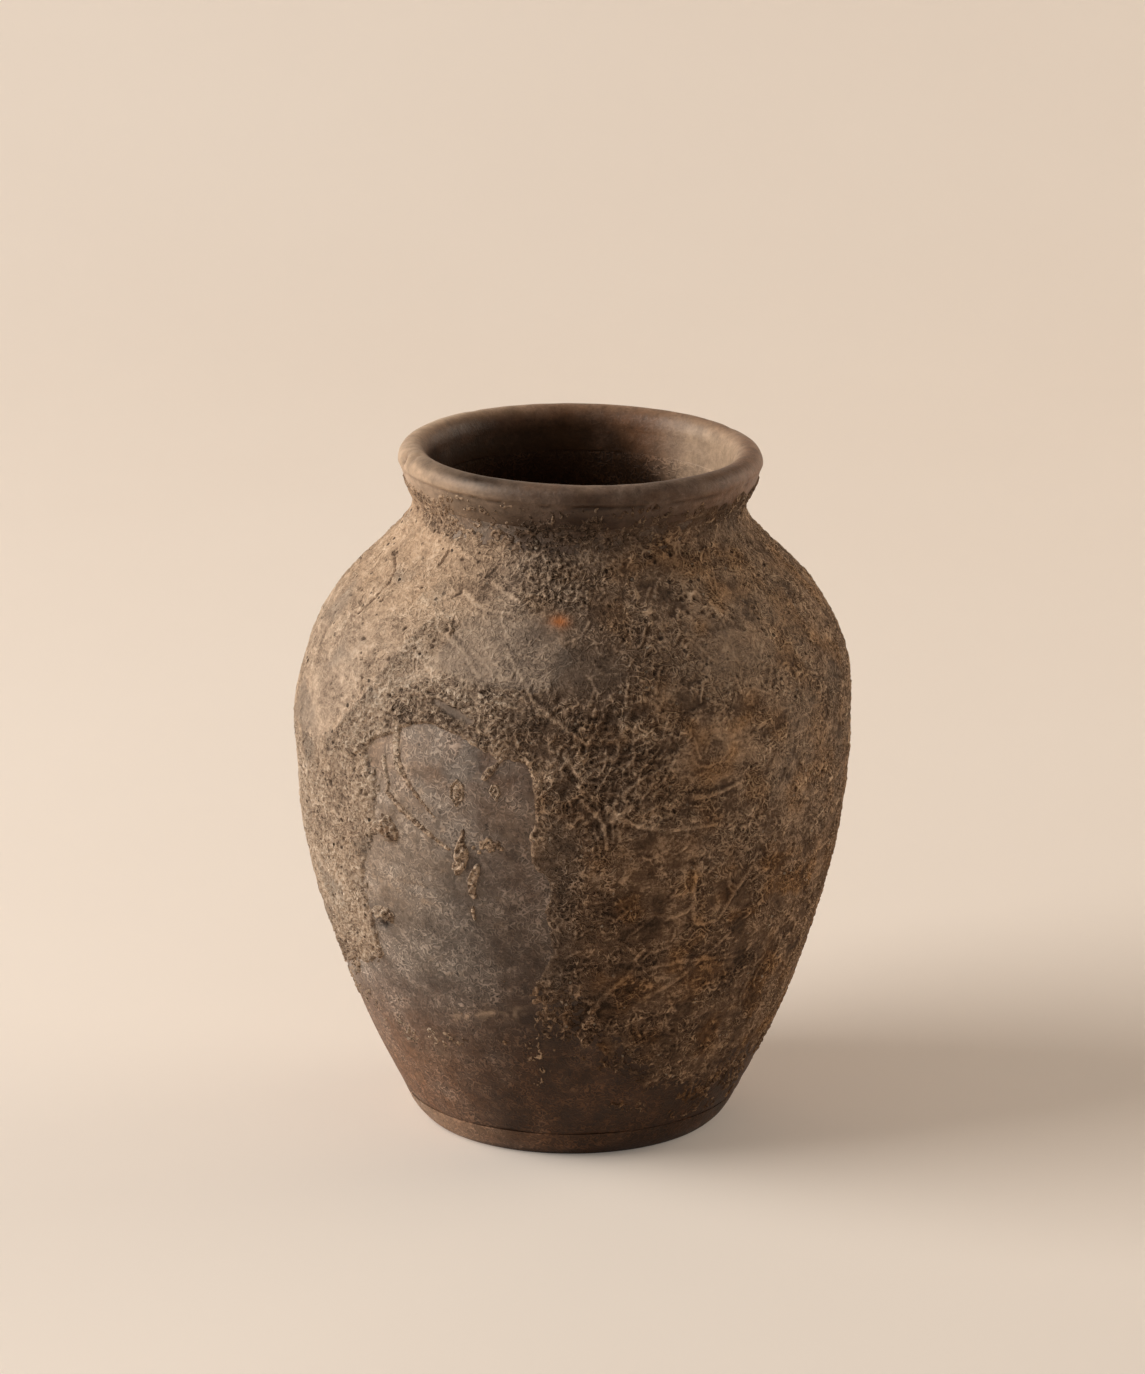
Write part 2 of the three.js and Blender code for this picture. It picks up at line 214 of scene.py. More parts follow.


# Smoke-fired earthenware, unglazed: grey to brown in soft clouds, finely wiped sideways on the wheel, with
# pale casts of fine roots, dark furrows beside them that are painted shade for their relief, grit specks
# and a slight sheen where handling has polished it. The masks are drawn on the pieces: dust, partly painted
# light, rust, and soot, partly painted shade. Grit is really finer, and is drawn 1.1 mm across so that it
# shows.
def fired_clay(name, dark, light, casts, roughness):
    material, tree, place = new_material(name)
    wiped = add(tree, "Mapping", {"Vector": place, "Scale": (1, 1, 5)})
    clouds, streaks, grit, blots = (
        add(tree, "TexNoise", {"Vector": at, "Scale": 1 / (size * MM), "Detail": detail, "Roughness": rough})
        for at, size, detail, rough in (
            (place, 12, 8, 0.68), (wiped, 6, 5, 0.7), (place, 1.1, 3, 0.7), (place, 3.2, 4, 0.7)))
    mixed = add(tree, "Mix", {0: 0.12, 2: clouds, 3: streaks}, data_type="FLOAT")
    colour = add(tree, "ValToRGB", {"Fac": mixed})
    for stop, position, code in zip(colour.color_ramp.elements, (0.37, 0.63), (dark, light)):
        stop.position = position
        stop.color = linear(code)
    rust, dust_and_painted_light, soot_and_painted_shade = (
        add(tree, "Attribute", attribute_name=mask).outputs["Fac"] for mask in ("rust", "dust_and_painted_light", "soot_and_painted_shade"))
    broken = add(tree, "MapRange", (mixed, 0.35, 0.65, 1.15, 0.78))
    soot_and_shade_colour = add(tree, "Mix", {0: rust, 6: linear("33271f"), 7: linear("352111")}, data_type="RGBA")
    for amount, stain in ((rust, linear("78543b")), (dust_and_painted_light, linear("bfa388")), (soot_and_painted_shade, soot_and_shade_colour)):
        share = add(tree, "Math", (amount, broken), operation="MULTIPLY", use_clamp=True)
        colour = add(tree, "Mix", {0: share, 6: colour, 7: stain}, data_type="RGBA")
    clean = add(tree, "Math", (1, dust_and_painted_light), operation="SUBTRACT", use_clamp=True)
    here = add(tree, "MapRange", (clouds, 0.4, 0.6, 0.4 * casts, 1.2 * casts))
    here = add(tree, "Math", (here, clean), operation="MULTIPLY")
    line, furrow_shade = (
        add(tree, "Math", (part, here), operation="MULTIPLY") for part in winding(tree, place, 1.6, 0.085))
    specks = add(tree, "MapRange", (grit, 0.58, 0.70, 0, 0.2 + casts))
    pits = add(tree, "MapRange", (grit, 0.42, 0.30, 0, -0.2 - 0.5 * casts))
    mottle = add(tree, "MapRange", (blots, 0.3, 0.7, -0.26, 0.26))
    scored = add(tree, "MapRange", (streaks, 0.3, 0.7, -0.06, 0.06))
    bright = 1
    for part, gain in ((line, 1.5), (furrow_shade, -0.5), (specks, clean), (pits, clean), (mottle, 1), (scored, 1)):
        bright = add(tree, "Math", (part, gain, bright), operation="MULTIPLY_ADD")
    colour = add(tree, "HueSaturation", {"Value": bright, "Color": colour})
    worn = add(tree, "MapRange", (clouds, 0.3, 0.7, roughness - 0.1, roughness + 0.12))
    normal = {}
    for strength, depth, source in ((0.35, 0.4, grit), (0.1, 0.6, streaks), (0.5, 0.4, line)):
        relief = {"Strength": strength, "Distance": depth * MM, "Height": source}
        normal = {"Normal": add(tree, "Bump", {**relief, **normal})}
    finish = {"Roughness": worn, "IOR": 1.45, "Specular IOR Level": 0.3}
    shader = add(tree, "BsdfPrincipled", {"Base Color": colour, **finish, **normal})
    add(tree, "OutputMaterial", {"Surface": shader})
    return material


def clay_marks(points, angle, height):
    """Masks of the bare clay: pale dust, rusty brown clay, and soot with some painted shade."""
    drift = noise(points, 22, 8)
    fine = noise(points, 7, 9)
    speckled = noise(points, 2.2, 18) + 0.4 * noise(points, 1.3, 19)
    specks = smooth(speckled, 0.3, 0.55) * smooth(drift, -0.3, 0.3)
    band = streak(angle, height, -21, 49.25, 0.25, 2.2, 13, 6)
    scar = streak(angle, height, -38, 84.84, -0.22, 0.7, 13, 5)
    pale = (0.85 * band + 0.55 * scar) * smooth(0.5 * fine + noise(points, 2.0, 25), -0.3, 0.5)
    dust_and_painted_light = 0.12 * smooth(drift + 0.5 * fine, 0.0, 0.7) + 0.2 * specks + pale
    dust_and_painted_light += 0.25 * between(angle, -110, -80, -46, -18) * smooth(height, 50, 90)

    low = smooth(height + 9 * drift + 4 * fine, 68, 20)
    warm = smooth(height, 104, 124) * smooth(angle, -6, -16) * smooth(drift + fine, -0.3, 0.5)
    rust = low * (0.85 + 0.25 * drift + 0.25 * fine) + 0.3 * warm + 0.3 * smooth(angle, -26, -8)

    shaded = smooth(np.sin(np.radians(angle)), -0.85, 0.0)
    spotted = smooth(noise(points, 4.5, 21) + 0.4 * fine, 0.1, 0.4)
    soot_and_painted_shade = 0.42 * between(angle, -42, -4, 40, 100) + 0.1 * smooth(drift, 0.0, 0.6) + 0.12 * fine
    soot_and_painted_shade += 0.34 * smooth(height, 102, 70) * between(angle, -62, -28, 40, 100)
    # shaded darkens the lower wall everywhere but on the left, where the lamp is: painted shade.
    soot_and_painted_shade += low * (0.05 + 0.42 * shaded + 0.1 * smooth(height, 14, 8))
    soot_and_painted_shade += 0.22 * spotted * smooth(angle, -24, -12) * between(height, 70, 84, 112, 124)
    soot_and_painted_shade -= 0.12 * smooth(height, 96, 110) * between(angle, -38, -28, -14, -6)
    soot_and_painted_shade = np.minimum(soot_and_painted_shade, 0.97 + 0.2 * fine) * (1 - 0.6 * pale)
    soot_and_painted_shade += (0.25 - 0.15 * smooth(angle, -6, 10)) * smooth(height, 174, 184) * smooth(abs(angle), 75, 40)
    soot_and_painted_shade += 0.3 * smooth(abs(angle), 100, 140)
    # The hole by the chip is sunk and also painted near black: a painted shadow of the chip over it.
    hole = spot(angle, height, *CHIP_HOLE)
    stain = spot(angle, height, 59, 17.5, 3, 2.2)
    soot_and_painted_shade += 0.7 * smooth(stain + 0.3 * fine, 0.3, 0.7) + 1.2 * hole
    return {"dust_and_painted_light": dust_and_painted_light * (1 - hole), "rust": rust, "soot_and_painted_shade": soot_and_painted_shade}


body_clay = fired_clay("smoke_fired_clay", "5e534b", "9a8e83", 0.7, 0.58)
around = np.arange(COLUMNS) * 360 / COLUMNS
fold = folded(around)
bend = np.linspace(0, 1, 14)[:, None]
foot = (1 - bend) ** 2 * (FOOT_RADIUS, 0) + 2 * bend * (1 - bend) * FOOT_BEND
foot += bend**2 * (SLAB_RADIUS, SLAB_THICKNESS)
under = [(radius, 0) for radius in UNDER_RADII]
top = [(radius, SLAB_THICKNESS) for radius in TOP_RADII]
slab = np.concatenate([under, foot, top])
slab_points = ring(slab, around)
rubbed = RUB_DEPTH * noise(slab_points, 9, 3) * smooth(slab[:, 1:], 0.2, 2)
rubbed[len(under) + len(foot) - 1 :] = 0
slab_points[..., :2] *= 1 + (rubbed / slab[:, :1])[..., None]
east, level = slab_points[..., 0], slab_points[..., 2]
slab_masks = clay_marks(slab_points, fold, level)
# Darker along the lowest few mm of the foot: a painted contact shadow.
slab_masks["soot_and_painted_shade"] += 0.3 * smooth(level, 3, 0.5) - 0.36 * smooth(east, 6, -14)
slab_masks["dust_and_painted_light"] += 0.25 * smooth(east, -4, -36)
turned_piece("floor_slab", slab_points, slab_masks, body_clay, capped=True)

# Wall sections and neck collar
# Coarse clay thrown in rings and luted edge to edge with slip, the joints smoothed by hand.
# Wheel ridges run around the wall. It bulges and dips a little, most where the left side was dented.
WALL_THICKNESS = 5.5
WALL_CORNERS = [
    (SLAB_RADIUS, SLAB_THICKNESS), (59.6, 30), (70.3, 60), (77.5, 90), (80, 119), (76.3, 142),
    (67.4, 158), (55.1, 170.5), (48.5, 178.5), (47.2, 183.8), (49.3, 188.4), (52.2, 195.5),
]
# Inside of the mouth, from the lip down to the shoulder: radius and height
THROAT_CORNERS = [(43.5, 193.8), (43.1, 189), (43.2, 184), (44.8, 177), (49.5, 168.7)]
JOINTS = {"lower_wall": (SLAB_THICKNESS, 50), "middle_wall": (50, 88), "belly_wall": (88, 132),
          "shoulder_wall": (132, 173), "neck_collar": (173, 187.2)}
OUTSIDE_STEP, INSIDE_STEP = 0.8, 2.4
# The jar left the potter's hands askew: shoulder and mouth are off to the right, and the mouth slopes
SHOULDER_SHIFT, MOUTH_SHIFT, MOUTH_SLOPE = 1.6, 1.0, 0.015


def skewed(points):
    """Points of the true jar, moved to where they are on the askew one."""
    x, y, z = np.moveaxis(points, -1, 0)
    shift = SHOULDER_SHIFT * smooth(z, 118, 142) + MOUTH_SHIFT * smooth(z, 172, 190)
    slope = MOUTH_SLOPE * smooth(z, 168, 195)
    return np.stack([x + shift, y, z - slope * x], -1)


def outward(outline):
    """The outward direction at each point of an outline of (radius, height) that runs upwards outside."""
    along = np.gradient(outline, axis=0)
    out = np.stack([along[:, 1], -along[:, 0]], -1)
    return out / np.linalg.norm(out, axis=1)[:, None]


def curve_through(corners, steps):
    """A smooth line through given corners, a centripetal Catmull-Rom curve with steps points to a span."""
    corners = np.array(corners, float)
    knots = np.concatenate([[2 * corners[0] - corners[1]], corners, [2 * corners[-1] - corners[-2]]])
    gaps = np.sqrt(np.linalg.norm(np.diff(knots, axis=0), axis=1))
    t = np.linspace(0, 1, steps, endpoint=False)[:, None]
    spans = []
    for i in range(1, len(knots) - 2):
        before, here, after = gaps[i - 1 : i + 2]
        a, b, c, d = knots[i - 1 : i + 3]
        leave = here * ((b - a) / before - (c - a) / (before + here) + (c - b) / here)
        arrive = here * ((c - b) / here - (d - b) / (here + after) + (d - c) / after)
        spans.append((2 * t**3 - 3 * t**2 + 1) * b + (t**3 - 2 * t**2 + t) * leave
                     + (3 * t**2 - 2 * t**3) * c + (t**3 - t**2) * arrive)
    return np.concatenate(spans + [corners[-1:]])


wall_line = curve_through(WALL_CORNERS, 60)
wall_out = outward(wall_line)
wall_arc = np.concatenate([[0], np.cumsum(np.linalg.norm(np.diff(wall_line, axis=0), axis=1))])


def wall_at(height):
    """Outline points and outward directions of the wall at heights."""
    radius, *out = (np.interp(height, wall_line[:, 1], source) for source in (wall_line[:, 0], *wall_out.T))
    return np.stack([radius, height], -1), np.stack(out, -1)


def arc_at(height):
    """How far up along the wall's outline a height is."""
    return np.interp(height, wall_line[:, 1], wall_arc)


def rows_between(low, high, step):
    """Heights between two heights, evenly spaced along the wall."""
    first, last = arc_at([low, high])
    count = max(2, round((last - first) / step) + 1)
    return np.interp(np.linspace(first, last, count), wall_arc, wall_line[:, 1])


def wall_swell(points, angle, height):
    """How far the hand-made wall stands out from its true outline; the wheel left a ridge every 6.8 mm."""
    ridges = 0.10 * np.sin(height * 0.93 + 1.5 * noise(points, 45, 5))
    ridges = ridges * smooth(noise(points, 30, 6), -0.5, 0.5)
    wobble = 0.35 * noise(points, 55, 7)
    dent = 1.3 * spot(angle, height, -88, 109, 16, 11)
    crease = 0.35 * streak(angle, height, -38, 87.5, 0.1, 0.9, 13, 5)
    by_joint = smooth(height, SLAB_THICKNESS + 1.6, SLAB_THICKNESS)
    groove = 0.3 * by_joint * smooth(noise(points, 20, 20), -0.5, 0.3)
    hole = 1.3 * spot(angle, height, *CHIP_HOLE)
    return ridges + wobble - dent - crease - groove - hole


def inside_marks(points):
    """Masks of the inside: some smoke, painted shadow of the left lip and painted light on the right."""
    east, level = points[..., 0], points[..., 2]
    # Below a line that falls away to the right it is black: partly smoke, partly a painted shadow of the left
    # lip, and painted shade deeper in the mouth. On the right it stays brown and is paler: painted light
    # where the lamp shines in.
    smoke_and_shadow_line = 198.5 - 0.95 * np.clip(east - 7, 0, 60)
    deep = smooth(level + 2 * noise(points, 6, 17), smoke_and_shadow_line + 8, smoke_and_shadow_line - 9)
    pale = smooth(east, 17, 36)
    return {"dust_and_painted_light": 0.8 * pale, "rust": 0.9 - 0.2 * pale, "soot_and_painted_shade": 1.1 * deep}


throat_line = curve_through(THROAT_CORNERS, 20)
for node_name, (low, high) in JOINTS.items():
    outline, out = wall_at(rows_between(low, high, OUTSIDE_STEP))
    level = outline[:, 1:]
    outside = ring(outline, around)
    swell = wall_swell(outside, fold, level)
    lining, lining_out = wall_at(rows_between(low, high, INSIDE_STEP)[::-1])
    lining = lining - lining_out * WALL_THICKNESS
    if node_name == "neck_collar":
        lining = throat_line[throat_line[:, 1] <= high]
        lining = np.concatenate([[[lining[0, 0], high]], lining])
    inside = ring(lining, around)
    if low == SLAB_THICKNESS:
        inside[-1, :, 2] = low
    points = skewed(np.concatenate([ring(outline, around, out, swell), inside]))
    outside_masks = clay_marks(outside, fold, level)
    masks = {key: np.concatenate([outside_masks[key], marks]) for key, marks in inside_marks(inside).items()}
    turned_piece(node_name, points, masks, body_clay)

# Rolled rim
# The end of the clay turned over outwards on the wheel into a thick round lip, luted on the collar.
# Hands have worn it smoother than the wall, and it has a few nicks.
RIM_FOOT = JOINTS["neck_collar"][1]
RIM_RADIUS, RIM_HEIGHT = WALL_CORNERS[-1]
CREST_RADIUS, CREST_HEIGHT = 48.0, 200.0
LIP_RADIUS, LIP_HEIGHT = THROAT_CORNERS[0]
RIM_STEP = 0.35
CREASE_HEIGHT = 194.3
# Nicks: angle, height, depth and half width
NICKS = [(-77, 197.5, 1.7, 2.2), (-71, 199.2, 0.7, 1.8), (28, 196.0, 0.5, 2.0), (118, 198.0, 0.4, 3.0),
         (-140, 199.0, 0.3, 2.5)]

rim_clay = fired_clay("smoke_fired_clay_worn_by_hands", "695b52", "8f7f73", 0.12, 0.45)
flare, _ = wall_at(rows_between(RIM_FOOT, RIM_HEIGHT, RIM_STEP))
quarter = np.linspace(0, math.pi / 2, 18)[1:]
outer_roll = np.stack([CREST_RADIUS + (RIM_RADIUS - CREST_RADIUS) * np.cos(quarter),
                       RIM_HEIGHT + (CREST_HEIGHT - RIM_HEIGHT) * np.sin(quarter)], -1)
inner_roll = np.stack([CREST_RADIUS + (LIP_RADIUS - CREST_RADIUS) * np.sin(quarter),
                       LIP_HEIGHT + (CREST_HEIGHT - LIP_HEIGHT) * np.cos(quarter)], -1)
throat = throat_line[1:][throat_line[1:, 1] > RIM_FOOT]
rim = np.concatenate([flare, outer_roll, inner_roll, throat, [[throat[-1, 0], RIM_FOOT]]])
rim_out = outward(rim)
level = rim[:, 1:]
row = np.arange(len(rim))[:, None]
bend_row = len(flare)
crest_row = bend_row + len(outer_roll)
flat = ring(rim, around)
arc = fold * math.radians(1) * RIM_RADIUS
nicked = 0
for degrees, nick_height, depth, half in NICKS:
    nick_arc = degrees * math.radians(1) * RIM_RADIUS
    nicked = nicked + depth * (row < crest_row) * spot(arc, level, nick_arc, nick_height, half, 0.6 * half)
swell = wall_swell(flat, fold, level)
worn = 0.3 * noise(flat, 30, 12) + 0.08 * noise(flat, 5, 13) - nicked
crease = bell(level - 0.5 * noise(flat, 12, 22), CREASE_HEIGHT, 0.55) * (row < bend_row + 4)
crease = crease * smooth(noise(flat, 9, 23) + 0.5 * noise(flat, 3, 24), -0.3, 0.3)
worn = swell + (worn - swell) * smooth(row, bend_row - 10, bend_row + 3) - 0.28 * crease
worn[-1] = 0
inside = smooth(row, crest_row - 3, crest_row + 12)
east, south = np.sin(np.radians(fold)), np.cos(np.radians(fold))
mottled = smooth(noise(flat, 14, 15) + 0.5 * noise(flat, 4, 16), -0.1, 0.6)
under = smooth(level, 193.5, 189.5) * (1 - inside)
crown = smooth(level, 197.5, 199.5)
# lit: the outer left face of the roll, towards the lamp, made paler and less dark: painted light.
lit = smooth(east, -0.3, -0.7) * smooth(level, 192, 195.5) * (1 - crown)
# The rim is paler on the left: partly dust, partly a painted sheen where the lamp falls on it.
dust_and_painted_light = 0.75 * smooth(east, -0.1, -0.75) + 0.2 * smooth(noise(flat, 8, 14), 0, 0.6)
dust_and_painted_light += 0.15 * lit + 0.22 * crown * smooth(south, 0.1, -0.5)
rust = 0.4 + 0.4 * smooth(east, 0.35, 0.9) + 0.25 * mottled + 0.45 * crown * smooth(south, 0.3, -0.4)
soot_and_painted_shade = 0.7 * smooth(south, 0.25, 0.9) * (1 - 0.5 * smooth(east, 0.0, 0.7)) + 0.2 * mottled
# Darker in the crease, which is also sunk, and under the roll but for the left, where the lamp reaches:
# painted shade. The nicks are darker too.
soot_and_painted_shade += 0.2 * under * smooth(east, -0.8, -0.1) + 0.4 * crease + 0.5 * nicked
# Along the top of the crest, in front and behind, it is less dark: a painted highlight along the edge.
soot_and_painted_shade *= (1 - 0.6 * crown * smooth(abs(east), 0.5, 0.2)) * (1 - 0.45 * lit)
soot_and_painted_shade += 0.24 * crown * smooth(abs(east), 0.1, 0.7) * smooth(south, 0.2, 0.5)
masks = {"dust_and_painted_light": dust_and_painted_light, "rust": rust, "soot_and_painted_shade": soot_and_painted_shade}
masks = {key: masks[key] * (1 - inside) + marks * inside for key, marks in inside_marks(flat).items()}
turned_piece("rolled_rim", skewed(ring(rim, around, rim_out, worn)), masks, rim_clay)

# Earth crust
# Dried burial earth stuck to the clay: smooth and pitted on the left, grainy around the bare patch in
# front, and matted with fine rootlet casts on the right. The back is like the sides.
ROW_STEP = 0.42
ANGLES = np.concatenate([np.arange(-192, -100, 0.6), np.arange(-100, 100, 0.3), np.linspace(100, 168, 114)])
HEIGHTS = rows_between(10, 194.9, ROW_STEP)
# Heights over the clay's face: the crust's inside, its sunken edge, and from where up it is made
BURIED = -0.4
EDGE = 0.9 * BURIED
SHOWN = 0.75 * BURIED

# Per patch: thickness and the heights of its grains and rootlets in mm, how pitted it is, its tone from dark
# 0 to pale 1, how rusty and how matted it is, then its outline's corners in degrees and mm of height
PATCHES = {
    "crust_left_shoulder": (0.75, 0.12, 0.0, 0.7, 0.92, 0.15, 0.45, [
        (-97, 128), (-98, 150), (-93, 167), (-72, 178), (-50, 178.5), (-38, 174), (-39, 165), (-45, 155),
        (-51, 142), (-60, 128), (-78, 122)]),
    "crust_left_ridge": (1.50, 0.36, 0.0, 0.7, 0.94, 0.15, 0.75, [
        (-56, 125), (-50, 137), (-45, 148), (-40, 158), (-36, 162), (-33.5, 159), (-38, 150), (-43.5, 139),
        (-47, 130), (-51, 124.5)]),
    "crust_left_flank": (0.80, 0.28, 0.0, 0.6, 1.0, 0.15, 0.65, [
        (-90, 117), (-73, 117.5), (-58, 120.5), (-48, 121.5), (-45, 113), (-46, 104), (-48.5, 97),
        (-51.5, 88), (-53.5, 80), (-54.5, 71), (-55.5, 62), (-66, 55), (-80, 53), (-91, 63), (-96, 90)]),
    "crust_brow": (1.05, 0.38, 0.05, 0.3, 0.80, 0.18, 1.0, [
        (-39.5, 141.5), (-36.5, 146.5), (-30, 148), (-20, 147), (-12.5, 145), (-9.5, 139), (-12.5, 134.5),
        (-18, 136), (-27, 138.8), (-34, 138.8), (-38.5, 138.2)]),
    "crust_upper_front": (0.35, 0.10, 0.0, 0.3, 0.82, 0.05, 0.65, [
        (-31, 155), (-29, 160), (-20, 161.5), (-9, 161), (-4, 156), (-7, 151), (-17, 150.3), (-27, 150.5)]),
    "crust_neck_left": (0.35, 0.25, 0.0, 0.5, 0.74, 0.05, 0.8, [
        (-60, 182.5), (-46, 186), (-28, 186.3), (-13, 184.5), (-17, 181), (-30, 180.3), (-46, 181)]),
    "crust_neck_clump": (0.80, 0.35, 0.15, 0.4, 0.80, 0.40, 1.0, [
        (-15, 170.5), (-13, 175), (-7, 177), (-1.5, 175), (-0.5, 170.5), (-4, 168), (-10, 168)]),
    "crust_right_shoulder": (0.45, 0.12, 0.25, 0.5, 0.69, 0.70, 0.9, [
        (5, 164), (8, 171), (20, 177), (40, 179), (60, 177), (80, 170), (92, 158), (88, 149), (58, 147.5),
        (40, 147.5), (23, 148.5), (9, 152), (3.5, 157.5)]),
    "crust_right_flank": (0.50, 0.15, 0.35, 0.4, 0.67, 0.60, 1.0, [
        (-7, 143), (2, 148), (9, 147.5), (22, 144.5), (40, 143.5), (60, 143.5), (84, 144.5), (94, 130),
        (94, 108), (82, 98), (55, 96), (30, 96), (10, 96), (-1, 96), (-4.5, 101), (-6.5, 111), (-7.5, 122),
        (-7.5, 134)]),
    "crust_lower_right": (0.42, 0.12, 0.35, 0.2, 0.60, 0.95, 1.0, [
        (-3.5, 90), (0, 92), (30, 92), (55, 92), (82, 93), (91, 80), (84, 62), (66, 48), (47, 38), (30, 34),
        (14, 36), (8.5, 42), (8, 52), (1, 55.5), (-5, 52.5), (-8.5, 58), (-6, 66), (-4, 76), (-4.5, 84)]),
    "crust_back_right": (0.60, 0.15, 0.25, 0.4, 0.60, 0.45, 0.8, [
        (102, 160), (113, 173), (135, 177), (152, 168), (158, 146), (146, 126), (122, 120), (106, 128),
        (100, 144)]),
    "crust_back_middle": (0.60, 0.12, 0.30, 0.2, 0.58, 0.45, 0.9, [
        (100, 112), (126, 113), (150, 116), (166, 104), (168, 78), (150, 56), (124, 50), (103, 60),
        (98, 86)]),
    "crust_back_left": (0.85, 0.28, 0.05, 0.6, 0.84, 0.15, 0.55, [
        (-106, 165), (-128, 175), (-156, 172), (-186, 160), (-192, 134), (-178, 104), (-150, 92), (-122, 98),
        (-105, 120), (-102, 144)]),
    "crust_back_low": (0.50, 0.15, 0.20, 0.3, 0.68, 0.35, 0.7, [
        (-112, 84), (-136, 84), (-160, 80), (-174, 62), (-164, 42), (-138, 33), (-114, 42), (-104, 62)]),
}
# Stretches that look unlike the patch around them: the same values, then their outlines
AREAS = [
    (0.60, 0.08, 0.0, 0.15, 0.89, 0.0, 0.30, [
        (-76, 126), (-73, 142), (-63, 150), (-54, 146), (-56, 133), (-64, 122)]),
    (0.35, 0.10, 0.0, 0.40, 0.82, 0.06, 0.50, [
        (-42, 162), (-40, 176), (-30, 181), (-18, 180), (-18, 172), (-16, 165), (-26, 162)]),
    (0.45, 0.10, 0.0, 0.30, 0.84, 0.02, 0.40, [
        (-42, 146), (-38, 152), (-33, 159), (-26, 156), (-20, 150), (-30, 148.5)]),
    (0.25, 0.06, 0.1, 0.20, 0.54, 0.10, 0.45, [
        (-6, 147), (-5, 157), (2, 160), (10, 158), (11, 150), (3, 146)]),
    (0.25, 0.15, 0.2, 0.40, 0.52, 0.20, 0.90, [
        (-24, 182), (-24, 190), (5, 190), (28, 188), (24, 180), (4, 179), (-12, 180)]),
    (0.25, 0.06, 0.1, 0.20, 0.62, 0.30, 0.50, [
        (-13, 160), (-14, 165), (-8, 166), (0, 167), (4, 163), (0, 160)]),
    (0.75, 0.30, 0.15, 0.3, 0.62, 0.35, 1.0, [
        (-14, 131), (-14, 148), (-6, 148), (-4, 140), (-6, 131)]),
    (0.55, 0.18, 0.55, 0.4, 0.70, 0.45, 1.0, [
        (-6, 104), (-6, 138), (6, 146), (20, 140), (22, 112), (12, 104)]),
    (0.40, 0.12, 0.20, 0.3, 0.70, 0.80, 0.6, [
        (22, 124), (24, 137), (32, 141), (40, 138), (38, 126), (30, 121)]),
    (0.45, 0.12, 0.25, 0.3, 0.68, 0.90, 0.55, [(8, 93), (8, 104), (18, 107), (27, 104), (25, 94)]),
    (0.40, 0.12, 0.25, 0.3, 0.66, 0.95, 0.6, [(18, 53), (19, 65), (26, 68), (33, 64), (31, 54)]),
    (0.30, 0.12, 0.25, 0.1, 0.53, 0.20, 1.0, [
        (-9, 60), (-6, 84), (-7, 100), (-4, 112), (2, 108), (1, 84), (0, 58)]),
]
# Where the crust has flaked off the front, and the back, down to the clay
BARE_FRONT = [
    (-38.6, 132), (-38, 134.1), (-36.1, 135.1), (-32.7, 136.2), (-29, 135.8), (-25.3, 134.5), (-22.8, 133.2),
    (-20.3, 132), (-17.2, 129.9), (-15.4, 128.6), (-13.8, 129), (-11.6, 129), (-9.8, 128.6), (-8.5, 125.7),
    (-7.6, 121.5), (-7.3, 112.3), (-8.2, 106.4), (-8.4, 101.4), (-7.6, 98), (-5.4, 95.6), (-4.5, 92.2),
    (-4.8, 87.2), (-5.5, 84), (-5, 78), (-4.2, 72), (-6, 66), (-9, 60), (-9.5, 50), (-9, 42), (-30, 40),
    (-72, 46), (-62, 56), (-54, 59), (-50, 62), (-50, 68), (-49.5, 72), (-50.5, 80), (-48.8, 84),
    (-47.6, 87.6), (-47.3, 91.4), (-46.7, 95.6), (-45.1, 99.1), (-42.5, 99.5), (-42.5, 106), (-42.8, 110),
    (-42, 114), (-42.2, 118), (-44.2, 122), (-45.2, 126), (-43.4, 130)]
BARE_BACK = [(184, 60), (172, 66), (165, 92), (178, 106), (188, 96), (194, 76)]
# A smooth slot through the brow, down to a thin film
SLOT_START, SLOT_END, SLOT_HALF_WIDTH = (-31.5, 142.6), (-21.5, 138.2), 1.2
# Strands of earth left on the bare clay: their half widths in mm at both ends, then their places
STRANDS = [
    (1.6, 0.7, [(-39.6, 134), (-39, 130), (-38.5, 126.8), (-37.8, 123.2), (-36.6, 121)]),
    (0.9, 0.5, [(-41.5, 124.5), (-40.5, 119.8), (-39.8, 117.5), (-40.5, 114.5)]),
    (0.6, 0.4, [(-33.5, 148.5), (-29, 146), (-24, 143.5)]),
]
CRACK_HALF_WIDTH = 0.55
CRACKS = [
    [(-74.8, 171.8), (-66, 169.5), (-63.2, 167.2), (-63, 163.2), (-65, 157.5)],
    [(-46.8, 177), (-47.2, 173.2)], [(-34.5, 168.8), (-36.5, 167.5)], [(-26.5, 175.5), (-28.2, 173.2)],
    [(-81, 170), (-84, 161)],
]
# Casts of roots, from the thick end: degrees and height
ROOTS = [
    [(-2, 131), (0, 127), (2.5, 124), (5, 123)], [(4, 50), (8, 58), (12, 63), (17, 70), (22, 72)],
    [(27, 97), (26, 90), (26, 84), (21, 81), (16, 80), (12, 76)], [(26, 84), (28, 78), (33, 78)],
    [(7, 116), (12, 111), (17, 109), (22, 108), (30, 108)], [(24, 117), (30, 117), (36, 119)],
    [(-8, 143), (-2, 138), (3, 133)], [(12, 63), (20, 66), (30, 66), (42, 64)],
    [(8, 112), (9, 118), (14, 124)], [(-17, 157), (-12, 150), (-8, 143)],
    [(-34, 169), (-26, 166), (-17, 165.5)], [(-26, 172), (-16, 168)], [(-36, 160), (-28, 156), (-22, 150)],
    [(16, 55), (24, 60), (34, 70), (42, 78)], [(40, 92), (36, 85), (33, 78)], [(2, 118), (6, 112), (7, 104)],
]
# How many crumbs on the bare clay, bits in the clump there, pits, and casts of roots that wander by chance
CRUMBS, CLUMP_BITS, PITS, CHANCE_ROOTS = 90, 26, 1000, 420
